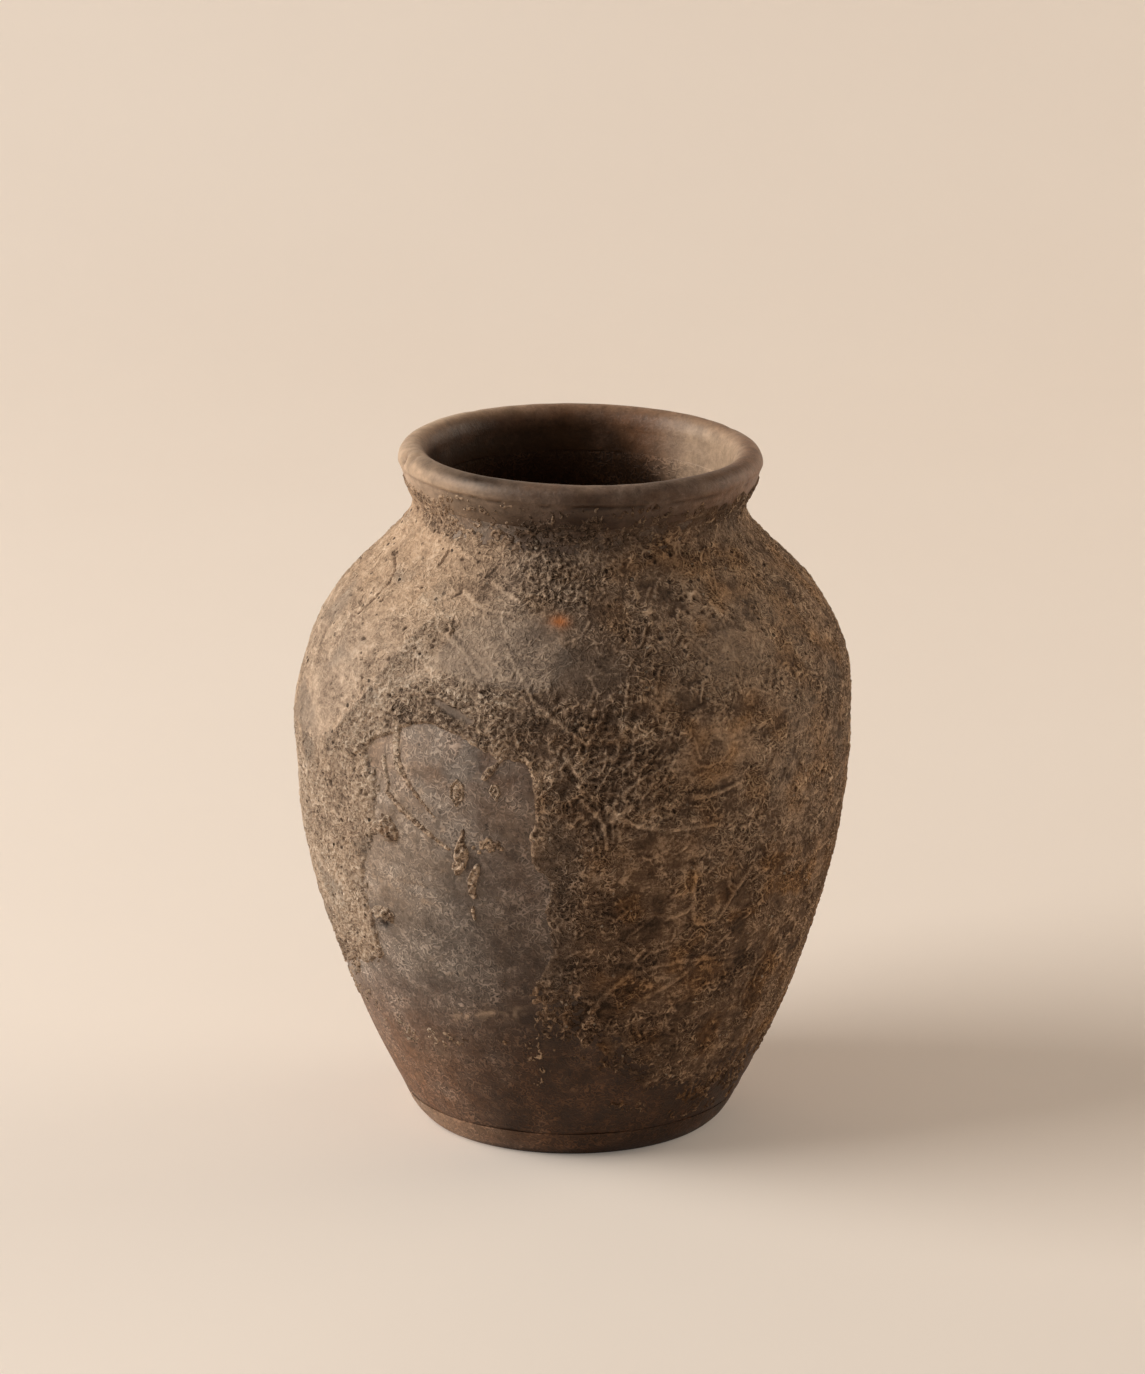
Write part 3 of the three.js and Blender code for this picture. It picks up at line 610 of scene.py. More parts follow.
# The lower end of the crust around the jar: degrees and height
LOWER_END = [
    (-192, 36), (-150, 30), (-120, 40), (-100, 46), (-80, 44), (-68, 36), (-50, 36), (-9, 40), (-4, 36),
    (3, 32), (12, 22), (25, 12), (45, 8), (65, 12), (85, 24), (110, 40), (140, 40), (168, 36)]
# Stains and paler stretches: middle in degrees and height, half sizes, and how much paler or how grey
STAINS = [
    (-66, 135, 8, 7, -0.12), (-52, 136, 7, 8, 0.06), (-38, 146, 6, 5, 0.12), (-52, 107, 7, 8, -0.12),
    (-68, 78, 9, 9, 0.15), (-22, 155, 16, 5, -0.05), (28, 168, 16, 8, -0.09), (7, 93, 8, 7, 0.06),
    (38, 92, 8, 7, -0.06), (68, 120, 8, 11, -0.10), (22, 122, 9, 9, 0.08), (58, 163, 14, 8, 0.10),
    (-38, 173, 9, 6, -0.07), (-37, 137, 7, 4, -0.13), (-52, 118, 8, 10, -0.10), (-70, 78, 6, 8, 0.06),
    (12, 184, 16, 6, 0.18), (68, 186, 12, 8, -0.10), (-38, 165, 7, 5, 0.10), (-8, 155, 8, 5, -0.08),
    (22, 155, 8, 5, -0.06), (38, 145, 8, 5, 0.06), (-22, 137, 8, 4, -0.06), (-8, 135, 7, 5, -0.08),
    (-53, 93, 7, 8, -0.06), (22, 77, 8, 7, -0.06), (-8, 62, 7, 7, 0.07), (38, 62, 8, 8, -0.08),
]
GREY_STAINS = [(40, 151, 15, 6, 0.4), (57, 130, 6, 13, 0.35)]
# Broad shades: how much paler, then where each begins, is full, wanes and is gone, in degrees and in height
FROM_FOOT, TO_TOP = (0, 1), (200, 201)
SHADES = [
    (0.08, (-150, -110, -28, -16), (156, 164, *TO_TOP)), (0.12, (22, 36, 52, 70), (100, 125, 168, 180)),
    (-0.08, (-12, 0, 46, 60), (*FROM_FOOT, 62, 80)), (-0.08, (-110, -80, 80, 110), (180, 187, *TO_TOP)),
    (-0.1, (20, 40, 80, 110), (180, 187, *TO_TOP)), (-0.1, (-150, -110, -56, -42), (*FROM_FOOT, 62, 76)),
    (-0.045, (-150, -110, -56, -42), (*FROM_FOOT, *TO_TOP)),
]
# Dark stretches: how dark, middle and half width in degrees, then the heights between which they set in
DARK_STRETCHES = [(0.13, 4, 24, 178, 186), (0.13, 6, 13, *FROM_FOOT), (0.16, -22, 14, 164, 172)]


def mm_per_degree(height):
    """How wide one degree is around the wall at a height."""
    return math.radians(1) * np.interp(height, wall_line[:, 1], wall_line[:, 0])


def depth_inside(corners, angle, height):
    """How far inside an outline of (degrees, height) corners each point lies, in mm; negative outside."""
    middle, level = np.mean(corners, axis=0)
    per_degree = mm_per_degree(level)
    x = folded(angle - middle) * per_degree
    ends = [(folded(a - middle) * per_degree, z) for a, z in corners]
    nearest = np.full(x.shape, 1e9)
    within = np.zeros(x.shape, bool)
    for (x0, z0), (x1, z1) in zip(ends, ends[1:] + ends[:1]):
        dx, dz = x1 - x0, z1 - z0
        share = np.clip(((x - x0) * dx + (height - z0) * dz) / (dx * dx + dz * dz), 0, 1)
        nearest = np.minimum(nearest, (x - x0 - share * dx) ** 2 + (height - z0 - share * dz) ** 2)
        if dz:
            within ^= ((z0 > height) != (z1 > height)) & (x < x0 + (height - z0) * dx / dz)
    return np.where(within, 1, -1) * np.sqrt(nearest)


def stroke(corners, steps, start, end):
    """Angles and heights along a line through corners, and radii that run from start to end."""
    path = curve_through(corners, steps)
    return *path.T, np.linspace(start, end, len(path))


def scattered(count, angles, heights, radii):
    """Chance places between two angles and two heights, with chance radii."""
    return [random.uniform(*ends, count) for ends in (angles, heights, radii)]


def stamped(strokes):
    """A field on the crust's grid with round bumps, 1 high in their middles, at angles, heights and radii."""
    field = np.zeros((len(HEIGHTS), len(ANGLES)))
    for at_angle, at_height, radius in strokes:
        column = np.round(np.interp(at_angle, ANGLES, np.arange(len(ANGLES)))).astype(int)
        row = np.round(np.interp(at_height, HEIGHTS, np.arange(len(HEIGHTS)))).astype(int)
        per_degree = mm_per_degree(at_height)
        reach = int(np.max(radius) / ROW_STEP) + 1
        for di, dj in itertools.product(range(-reach, reach + 1), repeat=2):
            i = np.clip(row + di, 0, len(HEIGHTS) - 1)
            j = np.clip(column + dj, 0, len(ANGLES) - 1)
            across = (ANGLES[j] - at_angle) * per_degree
            up = arc_at(HEIGHTS[i]) - arc_at(at_height)
            np.maximum.at(field, (i, j), np.sqrt(np.clip(1 - (across**2 + up**2) / radius**2, 0, 1)))
    return field


def on_wall(angle, height, offset):
    """Points on the swollen wall, offset outwards, at all angles of each height in turn."""
    outline, out = wall_at(height)
    swell = wall_swell(ring(outline, angle), folded(angle), height[:, None])
    return skewed(ring(outline, angle, out, offset + swell)).reshape(-1, 3)


def crust_piece(name, angle, height, top, masks, material, mine=True):
    """A closed shell over the cells of a grid that are its own and show, from top down into the wall."""
    shown = top > SHOWN
    keep = mine & (shown[:-1, :-1] | shown[:-1, 1:] | shown[1:, :-1] | shown[1:, 1:])
    (i0, i1), (j0, j1) = (np.nonzero(keep.any(axis))[0][[0, -1]] for axis in (1, 0))
    part = np.s_[i0 : i1 + 2, j0 : j1 + 2]
    keep = keep[i0 : i1 + 1, j0 : j1 + 1].copy()
    # Cells that meet only at a corner are joined, so that the shell is sound there
    while True:
        a, b, c, d = keep[:-1, :-1], keep[:-1, 1:], keep[1:, :-1], keep[1:, 1:]
        touching = (a & d & ~b & ~c) | (b & c & ~a & ~d)
        if not touching.any():
            break
        for cell in (a, b, c, d):
            cell |= touching
    angle, height, top = angle[part[1]], height[part[0]], top[part]
    up, across = keep.shape
    i, j = np.nonzero(keep)
    corner = [(i, j), (i, j + 1), (i + 1, j + 1), (i + 1, j)]
    index = [row * (across + 1) + column for row, column in corner]
    padded = np.pad(keep, 1)
    neighbours = [padded[i, j + 1], padded[i + 1, j + 2], padded[i + 2, j + 1], padded[i + 1, j]]
    sides = []
    for k, neighbour in enumerate(neighbours):
        p, q = index[k][~neighbour], index[(k + 1) % 4][~neighbour]
        sides.append(np.stack([q, p, p + top.size, q + top.size], -1))
    sides = np.concatenate(sides)
    faces = np.concatenate([np.stack(index, -1), np.stack(index[::-1], -1) + top.size, sides])
    used, faces = np.unique(faces, return_inverse=True)
    # The outside has the lower 0.8 of the map, the inside most of the rest, the sides a strip along the top
    outside_uv = np.stack([np.stack([b / across, 0.8 * a / up], -1) for a, b in corner], 1)
    inside_uv = np.stack([np.stack([b / across, 0.82 + 0.15 * a / up], -1) for a, b in corner[::-1]], 1)
    strip = np.arange(len(sides))
    sides_uv = np.stack([np.stack([(strip + du) / len(sides), 0 * strip + v], -1)
                         for du, v in ((0, 0.98), (0.8, 0.98), (0.8, 0.99), (0, 0.99))], 1)
    uv = np.concatenate([outside_uv, inside_uv, sides_uv])
    points = np.concatenate([on_wall(angle, height, top), on_wall(angle, height, BURIED)])[used]
    masks = {key: np.tile(values[part].ravel(), 2)[used] for key, values in masks.items()}
    piece(name + "_earth", name, points, [faces.reshape(-1, 4)], uv, masks, material)


# Dried burial earth: dark and brown where it is thin or damp-stained, paling to tan where it is thick and
# dry, with sand, pores and casts of fine roots in it. The pores and the furrows beside the casts are dark
# colour: painted shade. Its masks are drawn on the pieces: tone, rust, grey and orange colour it, matted,
# grainy and pitted bring out casts, grit and pores. Sand is really finer, and is drawn 0.7 mm across so
# that it shows.
def dried_earth(name):
    material, tree, place = new_material(name)
    tone, rust, grey, orange, matted, grainy, pitted = (
        add(tree, "Attribute", attribute_name=mask).outputs["Fac"]
        for mask in ("tone", "rust", "grey", "orange", "matted", "grainy", "pitted"))
    wiped = add(tree, "Mapping", {"Vector": place, "Scale": (1, 1, 4)})
    sand, grit, smear, blotch = (
        add(tree, "TexNoise", {"Vector": at, "Scale": 1 / (size * MM), "Detail": detail, "Roughness": rough})
        for at, size, detail, rough in (
            (place, 0.7, 3, 0.7), (place, 1.4, 5, 0.68), (wiped, 5, 5, 0.65), (place, 5.3, 5, 0.65)))
    packed, loose, string = (
        winding(tree, place, size, core) for size, core in ((1.7, 0.085), (2.6, 0.064), (4.6, 0.04)))
    coarser = add(tree, "MapRange", (blotch, 0.45, 0.6, 0, 1))
    casts = []
    for near, far, long in zip(packed, loose, string):
        cast = add(tree, "Mix", {0: coarser, 2: near, 3: far}, data_type="FLOAT")
        cast = add(tree, "Math", (cast, long), operation="MAXIMUM")
        casts.append(add(tree, "Math", (cast, matted), operation="MULTIPLY"))
    line, furrow_shade = casts
    pore = add(tree, "TexVoronoi", {"Vector": place, "Scale": 1 / (2.1 * MM)})
    chance = add(tree, "SeparateColor", (pore.outputs["Color"],)).outputs
    cluster = add(tree, "MapRange", (blotch, 0.42, 0.56, 0.1, 1))
    pore_size = add(tree, "MapRange", (chance["Red"], 0.6, 0.95, 0, 0.34))
    pore_depth = add(tree, "Math", (pore_size, pore), operation="SUBTRACT")
    pore_depth = add(tree, "MapRange", (pore_depth, 0, 0.06, 0, 1))
    for share in (pitted, cluster):
        pore_depth = add(tree, "Math", (pore_depth, share), operation="MULTIPLY")
    speck_size = add(tree, "MapRange", (chance["Green"], 0.25, 0.05, 0, 0.24))
    speck = add(tree, "Math", (speck_size, pore), operation="SUBTRACT")
    speck = add(tree, "MapRange", (speck, 0, 0.06, 0, 0.6))
    speck = add(tree, "Math", (speck, matted), operation="MULTIPLY")
    gritty = add(tree, "MapRange", (grit, 0.32, 0.68, -0.28, 0.28))
    varied = tone
    for source, swing in ((blotch, 0.18), (smear, 0.12), (sand, 0.13)):
        part = add(tree, "MapRange", (source, 0.3, 0.7, -swing, swing))
        varied = add(tree, "Math", (varied, part), operation="ADD")
    for part, gain in ((gritty, grainy), (furrow_shade, -0.38), (line, 0.6)):
        varied = add(tree, "Math", (part, gain, varied), operation="MULTIPLY_ADD")
    varied = add(tree, "Math", (varied, 0.75), operation="MULTIPLY", use_clamp=True)
    colour = add(tree, "ValToRGB", {"Fac": varied})
    stops = colour.color_ramp.elements
    stops[0].color = linear("33271c")
    stops[1].color = linear("f0dcc6")
    stops.new(0.375).color = linear("725f50")
    stops.new(0.75).color = linear("ccb39b")
    tint = add(tree, "Math", (rust, 0.8), operation="MULTIPLY", use_clamp=True)
    stained = {0: tint, 6: colour, 7: linear("f0d6b4")}
    colour = add(tree, "Mix", stained, data_type="RGBA", blend_type="MULTIPLY")
    # pore_depth colours the pores near black: painted shade in them.
    for amount, code in ((orange, "b56c38"), (grey, "7d7268"), (speck, "d2c1ac"), (pore_depth, "2b221c")):
        share = add(tree, "Math", (amount, 0.9), operation="MULTIPLY", use_clamp=True)
        colour = add(tree, "Mix", {0: share, 6: colour, 7: linear(code)}, data_type="RGBA")
    rough_height = add(tree, "Math", (grit, grainy), operation="MULTIPLY")
    normal = {}
    for strength, depth, source, sunk in ((0.8, 0.6, sand, False), (0.9, 1.3, rough_height, False),
                                          (1.0, 0.6, line, False), (0.8, 0.4, pore_depth, True)):
        relief = {"Strength": strength, "Distance": depth * MM, "Height": source}
        normal = {"Normal": add(tree, "Bump", {**relief, **normal}, invert=sunk)}
    finish = {"Roughness": 0.93, "Specular IOR Level": 0.25}
    shader = add(tree, "BsdfPrincipled", {"Base Color": colour, **finish, **normal})
    add(tree, "OutputMaterial", {"Surface": shader})
    return material


earth = dried_earth("dried_burial_earth")
random = np.random.default_rng(7)
angle, height = np.meshgrid(ANGLES, HEIGHTS)
places = ring(wall_at(HEIGHTS)[0], ANGLES)
coarse = noise(places, 14, 31)
medium = noise(places, 5, 32)
ragged = noise(places, 1.9, 33)

# What each place looks like: the values of its patch, blended at the borders, which are wavy behind
depths = {name: depth_inside(patch[-1], angle, height) for name, patch in PATCHES.items()}
wavy = 2 * medium + 14 * noise(places, 26, 55) * smooth(abs(angle), 84, 100)
weights = {name: smooth(depth + wavy, -3, 2) + 1e-4 * np.exp(np.clip(depth, -60, 0) / 6)
           for name, depth in depths.items()}
whole = sum(weights.values())
looks = [sum(weights[name] * PATCHES[name][k] for name in PATCHES) / whole for k in range(7)]
for *values, corners in AREAS:
    share = smooth(depth_inside(corners, angle, height) + 2.5 * medium, -3.5, 3.5)
    looks = [look + (value - look) * share for look, value in zip(looks, values)]
thick, grainy, stringy, pitted, toned, rusty, mat = looks

# Grains, and a net of casts, which has gaps where the crust is all strings
grains = smooth(noise(places, 1.25, 51) + 0.3 * noise(places, 0.9, 52), -0.2, 0.35)
patchy = smooth(noise(places, 9, 34) + 0.5 * medium, -0.5, 0.3)
netted = smooth(stringy, 0.40, 0.52)
net = abs(noise(places, 2.2, 53) * (1 - netted) + noise(places, 3.2, 54) * netted + 0.2 * ragged)
casts = smooth(net, 0.18, 0.05) * np.maximum(patchy, netted)
gaps = netted * smooth(net, 0.32, 0.55)

# Small marks, in the order of their random draws, and last the casts of roots that wander by chance
crumbs = stamped([scattered(CRUMBS, (-70, 20), (36, 136), (0.3, 0.55))])
clump = (random.normal(-16.5, 1.4, CLUMP_BITS), random.normal(103.5, 1.3, CLUMP_BITS),
         random.uniform(0.5, 0.85, CLUMP_BITS))
strands = stamped([stroke(corners, 24, start, end) for start, end, corners in STRANDS] + [clump])
cracks = stamped([stroke(corners, 24, CRACK_HALF_WIDTH, CRACK_HALF_WIDTH) for corners in CRACKS])
pits = stamped([scattered(PITS, (-192, 168), (50, 186), (0.35, 0.8))])
root_strokes = [stroke(corners, 30, 1.0, 0.55) for corners in ROOTS]
beside_strokes = [stroke(corners, 30, 2.6, 1.6) for corners in ROOTS]
for _ in range(CHANCE_ROOTS):
    a, z = random.uniform(-6, 160), random.uniform(30, 172)
    heading = random.uniform(0, 2 * math.pi)
    steps = random.integers(6, 22)
    turns = np.cumsum(random.normal(0, 0.16, steps)) + heading
    path = a + np.cumsum(ROW_STEP * np.cos(turns)) / mm_per_degree(z), z + np.cumsum(ROW_STEP * np.sin(turns))
    root_strokes.append((*path, random.uniform(0.42, 0.6)))
    beside_strokes.append((*path, 1.1))
rootlets = stamped(root_strokes) * smooth(medium + 0.4 * ragged, -0.6, -0.2)
beside = stamped(beside_strokes)

# How far inside the crust's edges each place is, in mm: bare patches, both ends, neck, rim and crumbs.
# The slot through the brow has no edge of its own, and is only thinner.
bare = -depth_inside(BARE_FRONT, angle, height)
frayed = between(angle, -80, -66, -38, -30) * between(height, 70, 86, 124, 131)
torn = between(angle, -90, -80, -48, -42) * smooth(height, 76, 66)
bare += frayed * (1.2 * medium + 1.0 * ragged + 1.6 * (casts - 0.3)) + torn * (3.0 * medium + 1.5 * ragged)
bare_behind = -depth_inside(BARE_BACK, angle, height) + 4 * medium + 3 * coarse + 2 * ragged
slot_run, slot_rise = np.subtract(SLOT_END, SLOT_START)
along = np.clip((angle - SLOT_START[0]) / slot_run, 0, 1)
past = 1.35 * (angle - SLOT_START[0] - along * slot_run)
above = 0.9 * (height - SLOT_START[1] - along * slot_rise)
slot = np.hypot(past, above) - 2 * SLOT_HALF_WIDTH * np.sqrt(along * (1 - along))
slotted = smooth(slot + 0.5 * medium + 0.4 * ragged, 0.4, -0.4)
lower = np.interp(angle, *np.array(LOWER_END).T)
lower_end = 0.12 * (height - lower - 6) + 1.2 * coarse + 0.9 * medium + 0.6 * ragged + 2.0 * (casts - 0.4)
top_end = 191.2 + 2.2 * between(angle, -58, -46, 20, 40) - height + 1.5 * coarse + 2.0 * medium + 1.5 * ragged
cover = np.minimum.reduce([bare + 0.5 * medium, lower_end, bare_behind, top_end])
flecks = noise(places * (0.7, 0.7, 1.7), 3.6, 44) + 0.6 * ragged + 0.8 * (casts - 0.4)
on_neck = between(angle, -58, -46, 36, 52) * smooth(height, 177, 181)
neck_end = 0.22 * (189 + 2 * smooth(angle, -8, 6) - height) + 2.6 * flecks
cover = np.where(on_neck > 0, np.minimum(cover, 4 + on_neck * (neck_end - 4)), cover)
crumbled = 0.3 - abs(height - 193.2 - 0.8 * noise(places, 9, 45)) / 0.8 + 2.0 * ragged
cover = np.where((angle > -44) & (angle < -14), np.maximum(cover, crumbled), cover)
cover += 0.5 * ragged + 0.5 * grainy * (grains - 0.4)
cover = np.where(crumbs > 0.25, np.maximum(cover, (crumbs - 0.25) * smooth(bare, -14, -2)), cover)

# The crust's height over the clay: film is where it is thin, edge the crisp lip right of the bare patch
grainy, pitted, mat = (look * (1 - slotted) for look in (grainy, pitted, mat))
by_edge = between(angle, -16, -10, 8, 14) * smooth(height, 134, 128)
film = smooth(noise(places, 8, 38) + 0.5 * noise(places, 3.4, 39) + 0.35 * ragged, 0.12, 0.5)
film = film * smooth(stringy, 0.1, 0.3) * (1 - 0.8 * rootlets) * (1 - 0.85 * by_edge * smooth(bare, 11, 5))
film = np.maximum(film, slotted)
rise = smooth(cover, -0.5 - 0.4 * frayed, 0.9 + 2.6 * frayed)
edge = bell(cover, 0.9, 0.7) * by_edge * smooth(ragged + 0.6 * medium, -0.35, 0.35)
lip = 0.25 * bell(cover, 1.0, 0.8) * smooth(thick, 0.4, 0.9) * (1 - frayed) + 0.28 * edge
body = (0.2 + 0.8 * smooth(height - lower, 2, 34)) * thick * (0.85 + 0.35 * coarse + 0.2 * medium)
strings = np.maximum(1.1 * rootlets, casts) - 0.4 * gaps
relief = grainy * (grains - 0.5) * 1.6 + stringy * strings + 0.12 * ragged
relief -= pitted * pits + 0.5 * cracks
crust = EDGE + rise * (np.maximum(body * (1 - 0.75 * film) + lip + relief, 0.12) - EDGE)
strand = smooth(strands + 0.3 * ragged, 0.1, 0.6) * (strands > 0.05)
crust = np.maximum(crust, EDGE + strand * (0.4 + 0.3 * ragged - EDGE))

# The crust's colours
fading = smooth(height - lower, 30, 0)
thin_edge = frayed * smooth(cover, 3.5, 0.5)
tone = toned + 0.04 + 0.10 * coarse + 0.08 * medium + 0.7 * grainy * (grains - 0.45)
tone += 0.28 * rootlets - 0.12 * smooth(beside, 0.1, 0.6) + smooth(stringy, 0.1, 0.35) * (0.2 * casts - 0.05)
# Pits, cracks and gaps are sunk and also darker in colour: painted shade in them.
tone -= 0.28 * film + 0.5 * pits * smooth(pitted, 0.2, 0.5) + 0.4 * cracks + 0.16 * gaps
# edge: a painted highlight along the lip right of the bare patch, whose side faces the lamp.
tone += 0.22 * strand + 0.08 * edge - 0.1 * fading - 0.12 * thin_edge
for dark, middle, half, low, high in DARK_STRETCHES:
    tone -= dark * bell(angle, middle, half) * smooth(height, low, high)
for shift, degrees, levels in SHADES:
    tone += shift * between(angle, *degrees) * between(height, *levels)
on_left = between(angle, -150, -110, -50, -34)
on_right = between(angle, 15, 45, 70, 100) * smooth(height, 96, 112)
rust = rusty * (0.7 + 0.7 * smooth(noise(places, 11, 36) + 0.4 * medium, -0.1, 0.5))
rust += 0.35 * between(angle, -150, -110, -32, -12) * smooth(height, 150, 168)
grey = 0.3 * smooth(noise(places, 18, 37), 0.0, 0.5) * on_right
grey += 0.45 * smooth(noise(places, 13, 40) + 0.4 * medium, 0.1, 0.5) * on_left
grey += 0.35 * weights["crust_upper_front"] / whole + 0.4 * thin_edge * (1 - strand) + 0.6 * slotted
for *where, shift in STAINS:
    tone += shift * spot(angle, height, *where)
for *where, shift in GREY_STAINS:
    grey += shift * spot(angle, height, *where)
masks = {
    "tone": tone, "rust": rust, "grey": grey, "orange": spot(angle, height, -4.6, 164.2, 2.4, 1.4),
    "matted": mat * (0.35 + 0.65 * patchy) * (1 - 0.8 * film) * (1 - 0.6 * rootlets) * (1 - 0.4 * fading),
    "grainy": smooth(grainy, 0.0, 0.5), "pitted": smooth(pitted, 0.1, 0.6),
}

owner = np.argmax(np.stack([depths[name] for name in PATCHES]), 0)[:-1, :-1]
for number, name in enumerate(PATCHES):
    crust_piece(name, ANGLES, HEIGHTS, crust, masks, earth, owner == number)

# Lumps, beads and runs
# Small separate bits of the same earth, left on the bare clay where the crust flaked off,
# or washed down over it in thin runs before they dried.
FINE_STEP = 0.25
MARGIN = 3.0
# Thickness and outline of each lump or bead
LUMPS = {
    "lump_left": (1.5, [(-43, 103.5), (-42, 108), (-39.8, 108), (-37.6, 104), (-38.2, 100.5), (-41, 99.8)]),
    "lump_left_chip": (1.9, [(-50.6, 75), (-48.5, 77.8), (-44, 78.6), (-42, 76.5), (-43, 73.6), (-44.6, 74.6),
                             (-47.5, 75.3)]),
    "lump_left_low": (1.4, [(-53, 61.5), (-52, 65), (-49.5, 65), (-48.7, 62), (-50.5, 60)]),
    "bead_left": (0.9, [(-25.2, 117), (-25, 120.5), (-23.6, 122.6), (-22, 121), (-21.9, 117), (-23.7, 114)]),
    "bead_right": (0.8, [(-16.9, 119.7), (-16.3, 121.9), (-15, 122.1), (-14.1, 119.5), (-15.3, 117)]),
    "lump_lower_right": (1.2, [(1.2, 44), (2.4, 50.5), (5, 54), (6.6, 50), (5.6, 42.5), (3.2, 38.5)]),
}
# Beads that dried as a ring with a bump in it
RINGS = ("bead_left", "bead_right")
# Thickness of each run, then the degrees, heights and half widths along it
RUNS = {
    "run_long_upper": (0.35, [(-38.2, 127.5, 0.8), (-36.6, 122.5, 0.9), (-32.5, 115.5, 0.8),
                              (-28.8, 110.5, 0.5)]),
    "run_long_lower": (0.45, [(-39.8, 114.5, 0.9), (-36, 110.3, 1.1), (-31, 105.8, 0.9),
                              (-25.8, 101.3, 0.6)]),
    "drip_brow": (1.0, [(-14.2, 131.6, 0.7), (-14.8, 129, 0.55), (-16.2, 126.6, 0.8), (-17.3, 124.6, 1.25),
                        (-17.7, 123.6, 0.8)]),
    "drip_middle_upper": (1.1, [(-22.3, 107.6, 0.5), (-22.8, 104, 1.0), (-22.9, 101, 2.0), (-23.3, 98.2, 1.9),
                                (-23.9, 95.8, 1.5), (-24, 94.4, 0.8)]),
    "drip_middle_lower": (0.9, [(-19.4, 97.5, 0.6), (-20, 95.5, 1.2), (-20.8, 92.5, 1.3), (-21, 89.6, 1.2),
                                (-20.7, 87.8, 0.7)]),
    "drip_middle_tail": (0.45, [(-21, 84.6, 0.4), (-21.2, 82.5, 0.6), (-21, 80.6, 0.4)]),
}


def fine_grid(stations):
    """Angles and heights of a fine grid that reaches past a small piece, and its mm per degree."""
    degrees, levels = np.array(stations).T[:2]
    per_degree = mm_per_degree(levels.mean())
    low, high = degrees.min() - MARGIN / per_degree, degrees.max() + MARGIN / per_degree
    across = np.linspace(low, high, int((high - low) * per_degree / FINE_STEP))
    return across, rows_between(levels.min() - MARGIN, levels.max() + MARGIN, FINE_STEP), per_degree


def small_piece(name, thickness, across, up, share, tone, matted, lumps=0.4):
    """A small bit of earth whose height follows share, 0 or less outside it and 1 in its middle."""
    spots = ring(wall_at(up)[0], across)
    crumbs = noise(spots, 1.1, 41)
    curls = smooth(abs(noise(spots, 2.4, 43)), 0.25, 0.05)
    lumpy = share + lumps * noise(spots, 1.5, 42)
    dome = np.where(lumpy > 0, smooth(np.clip(lumpy, 0, 1), -0.3, 0.8), 0)
    top = EDGE + dome * (thickness * (0.6 + 1.75 * lumps * curls + 0.3 * crumbs) - EDGE)
    levels = {"tone": tone + 0.9 * lumps * (curls - 0.5), "rust": 1.5 - 1.5 * tone, "grey": 0, "orange": 0,
              "matted": matted, "grainy": 0.3, "pitted": 0}
    masks = {key: level + 0.12 * crumbs for key, level in levels.items()}
    crust_piece(name, across, up, top, masks, earth)


for name, (thickness, corners) in LUMPS.items():
    across, up, _ = fine_grid(corners)
    depth = depth_inside(corners, *np.meshgrid(across, up))
    share = depth / min(1.3, depth.max())
    lumps = 0.4
    if name in RINGS:
        share = np.minimum(depth / 0.5, 1) - 0.8 * between(depth, 0.5, 0.8, 1.2, 1.5)
        lumps = 0.1
    small_piece(name, thickness, across, up, share, 0.5 if name == "lump_lower_right" else 0.9, 0.8, lumps)

for name, (thickness, stations) in RUNS.items():
    across, up, per_degree = fine_grid(stations)
    angle, height = np.meshgrid(across, up)
    share = np.full(angle.shape, -9.0)
    for number, (degrees, level, half) in enumerate(curve_through(stations, 10)):
        beaded = half * (0.8 + 0.35 * abs(math.sin(number * 0.9)))
        apart = ((angle - degrees) * per_degree) ** 2 + (height - level) ** 2
        share = np.maximum(share, 1 - apart / beaded**2)
    small_piece(name, thickness, across, up, share, 0.86, 0.6)

# Studio
# A plain sweep of pale matt paper in metres, one large soft lamp from the upper left, a weaker warm one
# from the right, and a weak even fill from all around.
SWEEP_HALF_WIDTH, SWEEP_FRONT, SWEEP_BACK, SWEEP_BOW, SWEEP_TOP = 4.0, -3.0, 0.9, 0.8, 3.0
PAPER_BLOTCH = 333.3  # mm
PAPER_LIFT = 0.12
LAMP_AIM = (0, 0, 0.1)

# Matt studio paper, hardly uneven in colour. A small part of what is seen of it is its own glow, which keeps
# it pale without more light on the jar.
paper, tree, place = new_material("matt_studio_paper")
blotches = add(tree, "TexNoise", {"Vector": place, "Scale": 1 / (PAPER_BLOTCH * MM), "Detail": 4})
tint = add(tree, "Mix", {0: blotches, 6: linear("f6e9dc"), 7: linear("fbf0e4")}, data_type="RGBA")
matt = add(tree, "BsdfPrincipled", {"Base Color": tint, "Roughness": 0.9, "Specular IOR Level": 0.1})
glow = add(tree, "Emission", {"Color": tint, "Strength": 1})
rays = add(tree, "LightPath").outputs
seen = rays["Is Camera Ray"]
for kind in ("Is Glossy Ray", "Is Transmission Ray"):
    seen = add(tree, "Math", (seen, rays[kind]), operation="MAXIMUM")
lift = add(tree, "Math", (seen, PAPER_LIFT), operation="MULTIPLY")
lifted = add(tree, "MixShader", (lift, matt, glow))
add(tree, "OutputMaterial", {"Surface": lifted})

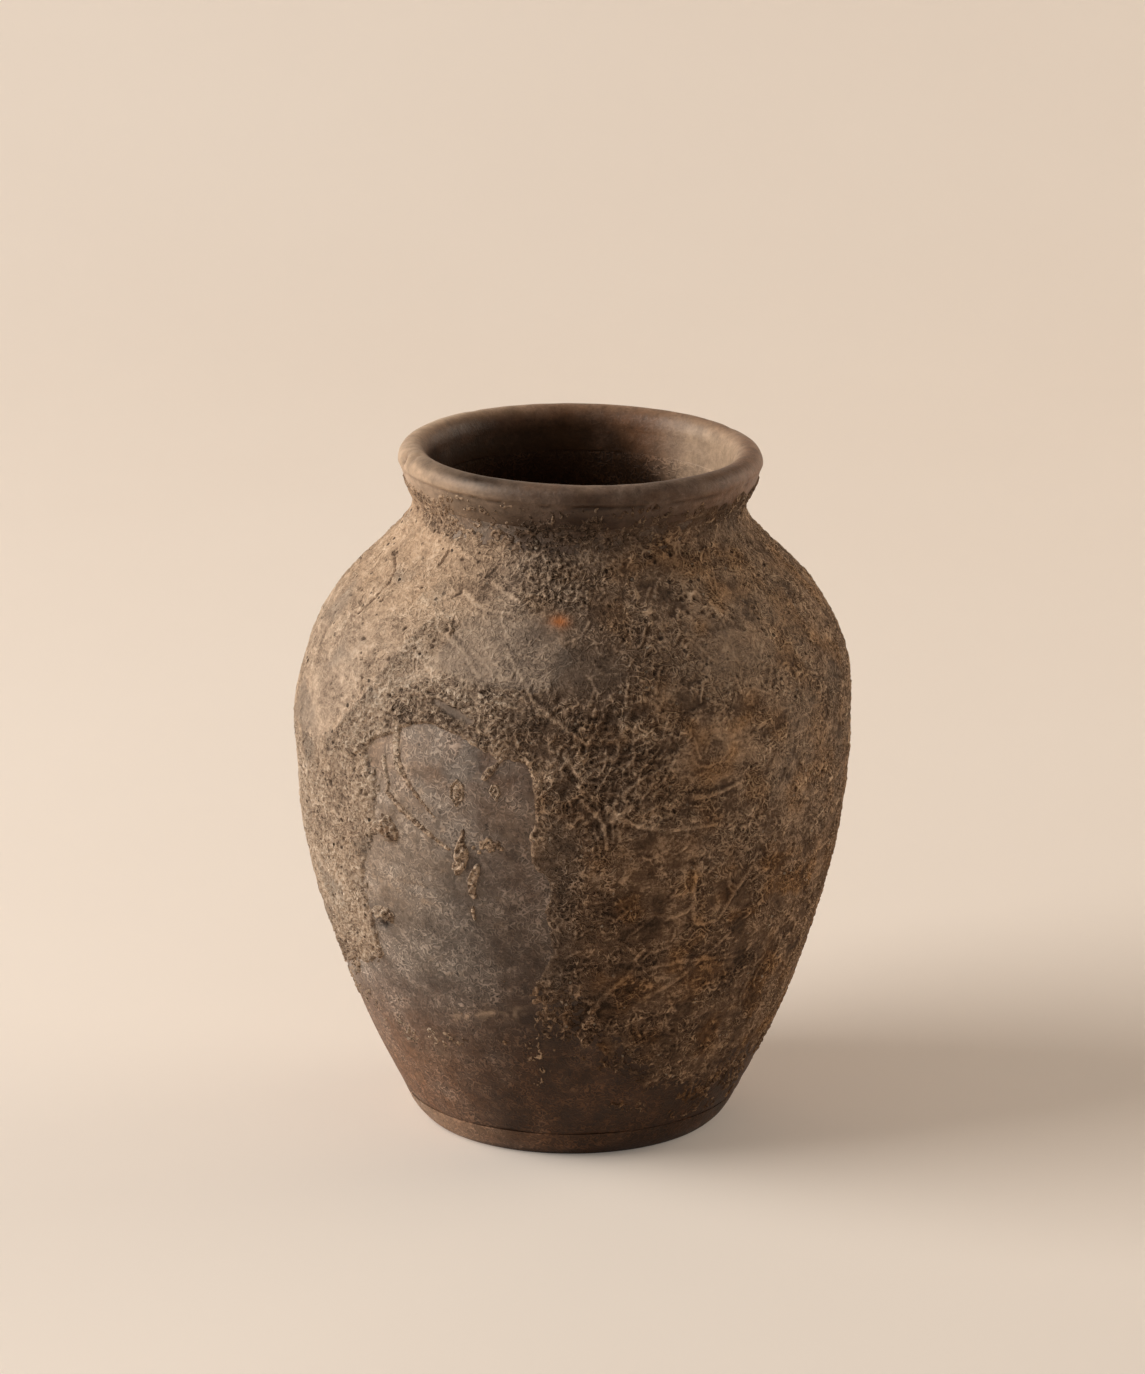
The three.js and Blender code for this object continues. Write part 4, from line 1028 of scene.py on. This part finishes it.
sweep = bpy.data.meshes.new("sweep")
bow = [(SWEEP_BACK + SWEEP_BOW * math.sin(turn), SWEEP_BOW - SWEEP_BOW * math.cos(turn))
       for turn in np.linspace(0, math.pi / 2, 24)]
profile = [(SWEEP_FRONT, 0.0), *bow, (SWEEP_BACK + SWEEP_BOW, SWEEP_TOP)]
corners = [(x, y, z) for y, z in profile for x in (-SWEEP_HALF_WIDTH, SWEEP_HALF_WIDTH)]
strips = [(2 * k, 2 * k + 1, 2 * k + 3, 2 * k + 2) for k in range(len(profile) - 1)]
sweep.from_pydata(corners, [], strips)
sweep.shade_smooth()
sweep.materials.append(paper)
floor = bpy.data.objects.new("sweep", sweep)
bpy.context.scene.collection.objects.link(floor)


def lamp(name, place, size, power, tint):
    """A square soft lamp aimed at the middle of the jar."""
    light = bpy.data.lights.new(name, "AREA")
    light.size = size
    light.energy = power
    light.color = tint
    made = bpy.data.objects.new(name, light)
    made.location = place
    aim = np.subtract(LAMP_AIM, place)
    made.rotation_euler = (math.acos(-aim[2] / np.linalg.norm(aim)), 0, math.atan2(-aim[0], aim[1]))
    bpy.context.scene.collection.objects.link(made)


lamp("key", (-1.68, -0.24, 1.16), 1.5, 42, (1.0, 0.97, 0.93))
lamp("fill", (1.8, 0.7, 0.6), 1.4, 18, (1.0, 0.87, 0.72))
world = bpy.data.worlds.new("studio_fill")
world.use_nodes = True
world.node_tree.nodes["Background"].inputs["Color"].default_value = linear("ffefde")
world.node_tree.nodes["Background"].inputs["Strength"].default_value = 0.17
bpy.context.scene.world = world

# Camera
# A long lens, 1.74 m from the jar, looking down on it at 17 degrees. The aim is a point on the jar's axis
# and the pixel that it has in the picture.
IMAGE = (1145, 1374)
FOCAL_PIXELS = 6000
DISTANCE, PITCH = 1.7428, math.radians(17.21)
AIM_HEIGHT, AIM_PIXEL = 0.1, (571.5, 777.9)
lens = bpy.data.cameras.new("camera")
lens.sensor_width = 36
lens.lens = FOCAL_PIXELS / IMAGE[1] * lens.sensor_width
camera = bpy.data.objects.new("camera", lens)
camera.location = (0, -DISTANCE * math.cos(PITCH), AIM_HEIGHT + DISTANCE * math.sin(PITCH))
raised = math.atan((AIM_PIXEL[1] - IMAGE[1] / 2) / FOCAL_PIXELS)
turned = math.atan((AIM_PIXEL[0] - IMAGE[0] / 2) / FOCAL_PIXELS)
camera.rotation_euler = (math.pi / 2 - PITCH + raised, 0, turned)
bpy.context.scene.collection.objects.link(camera)
bpy.context.scene.camera = camera
bpy.context.scene.view_settings.view_transform = "Standard"
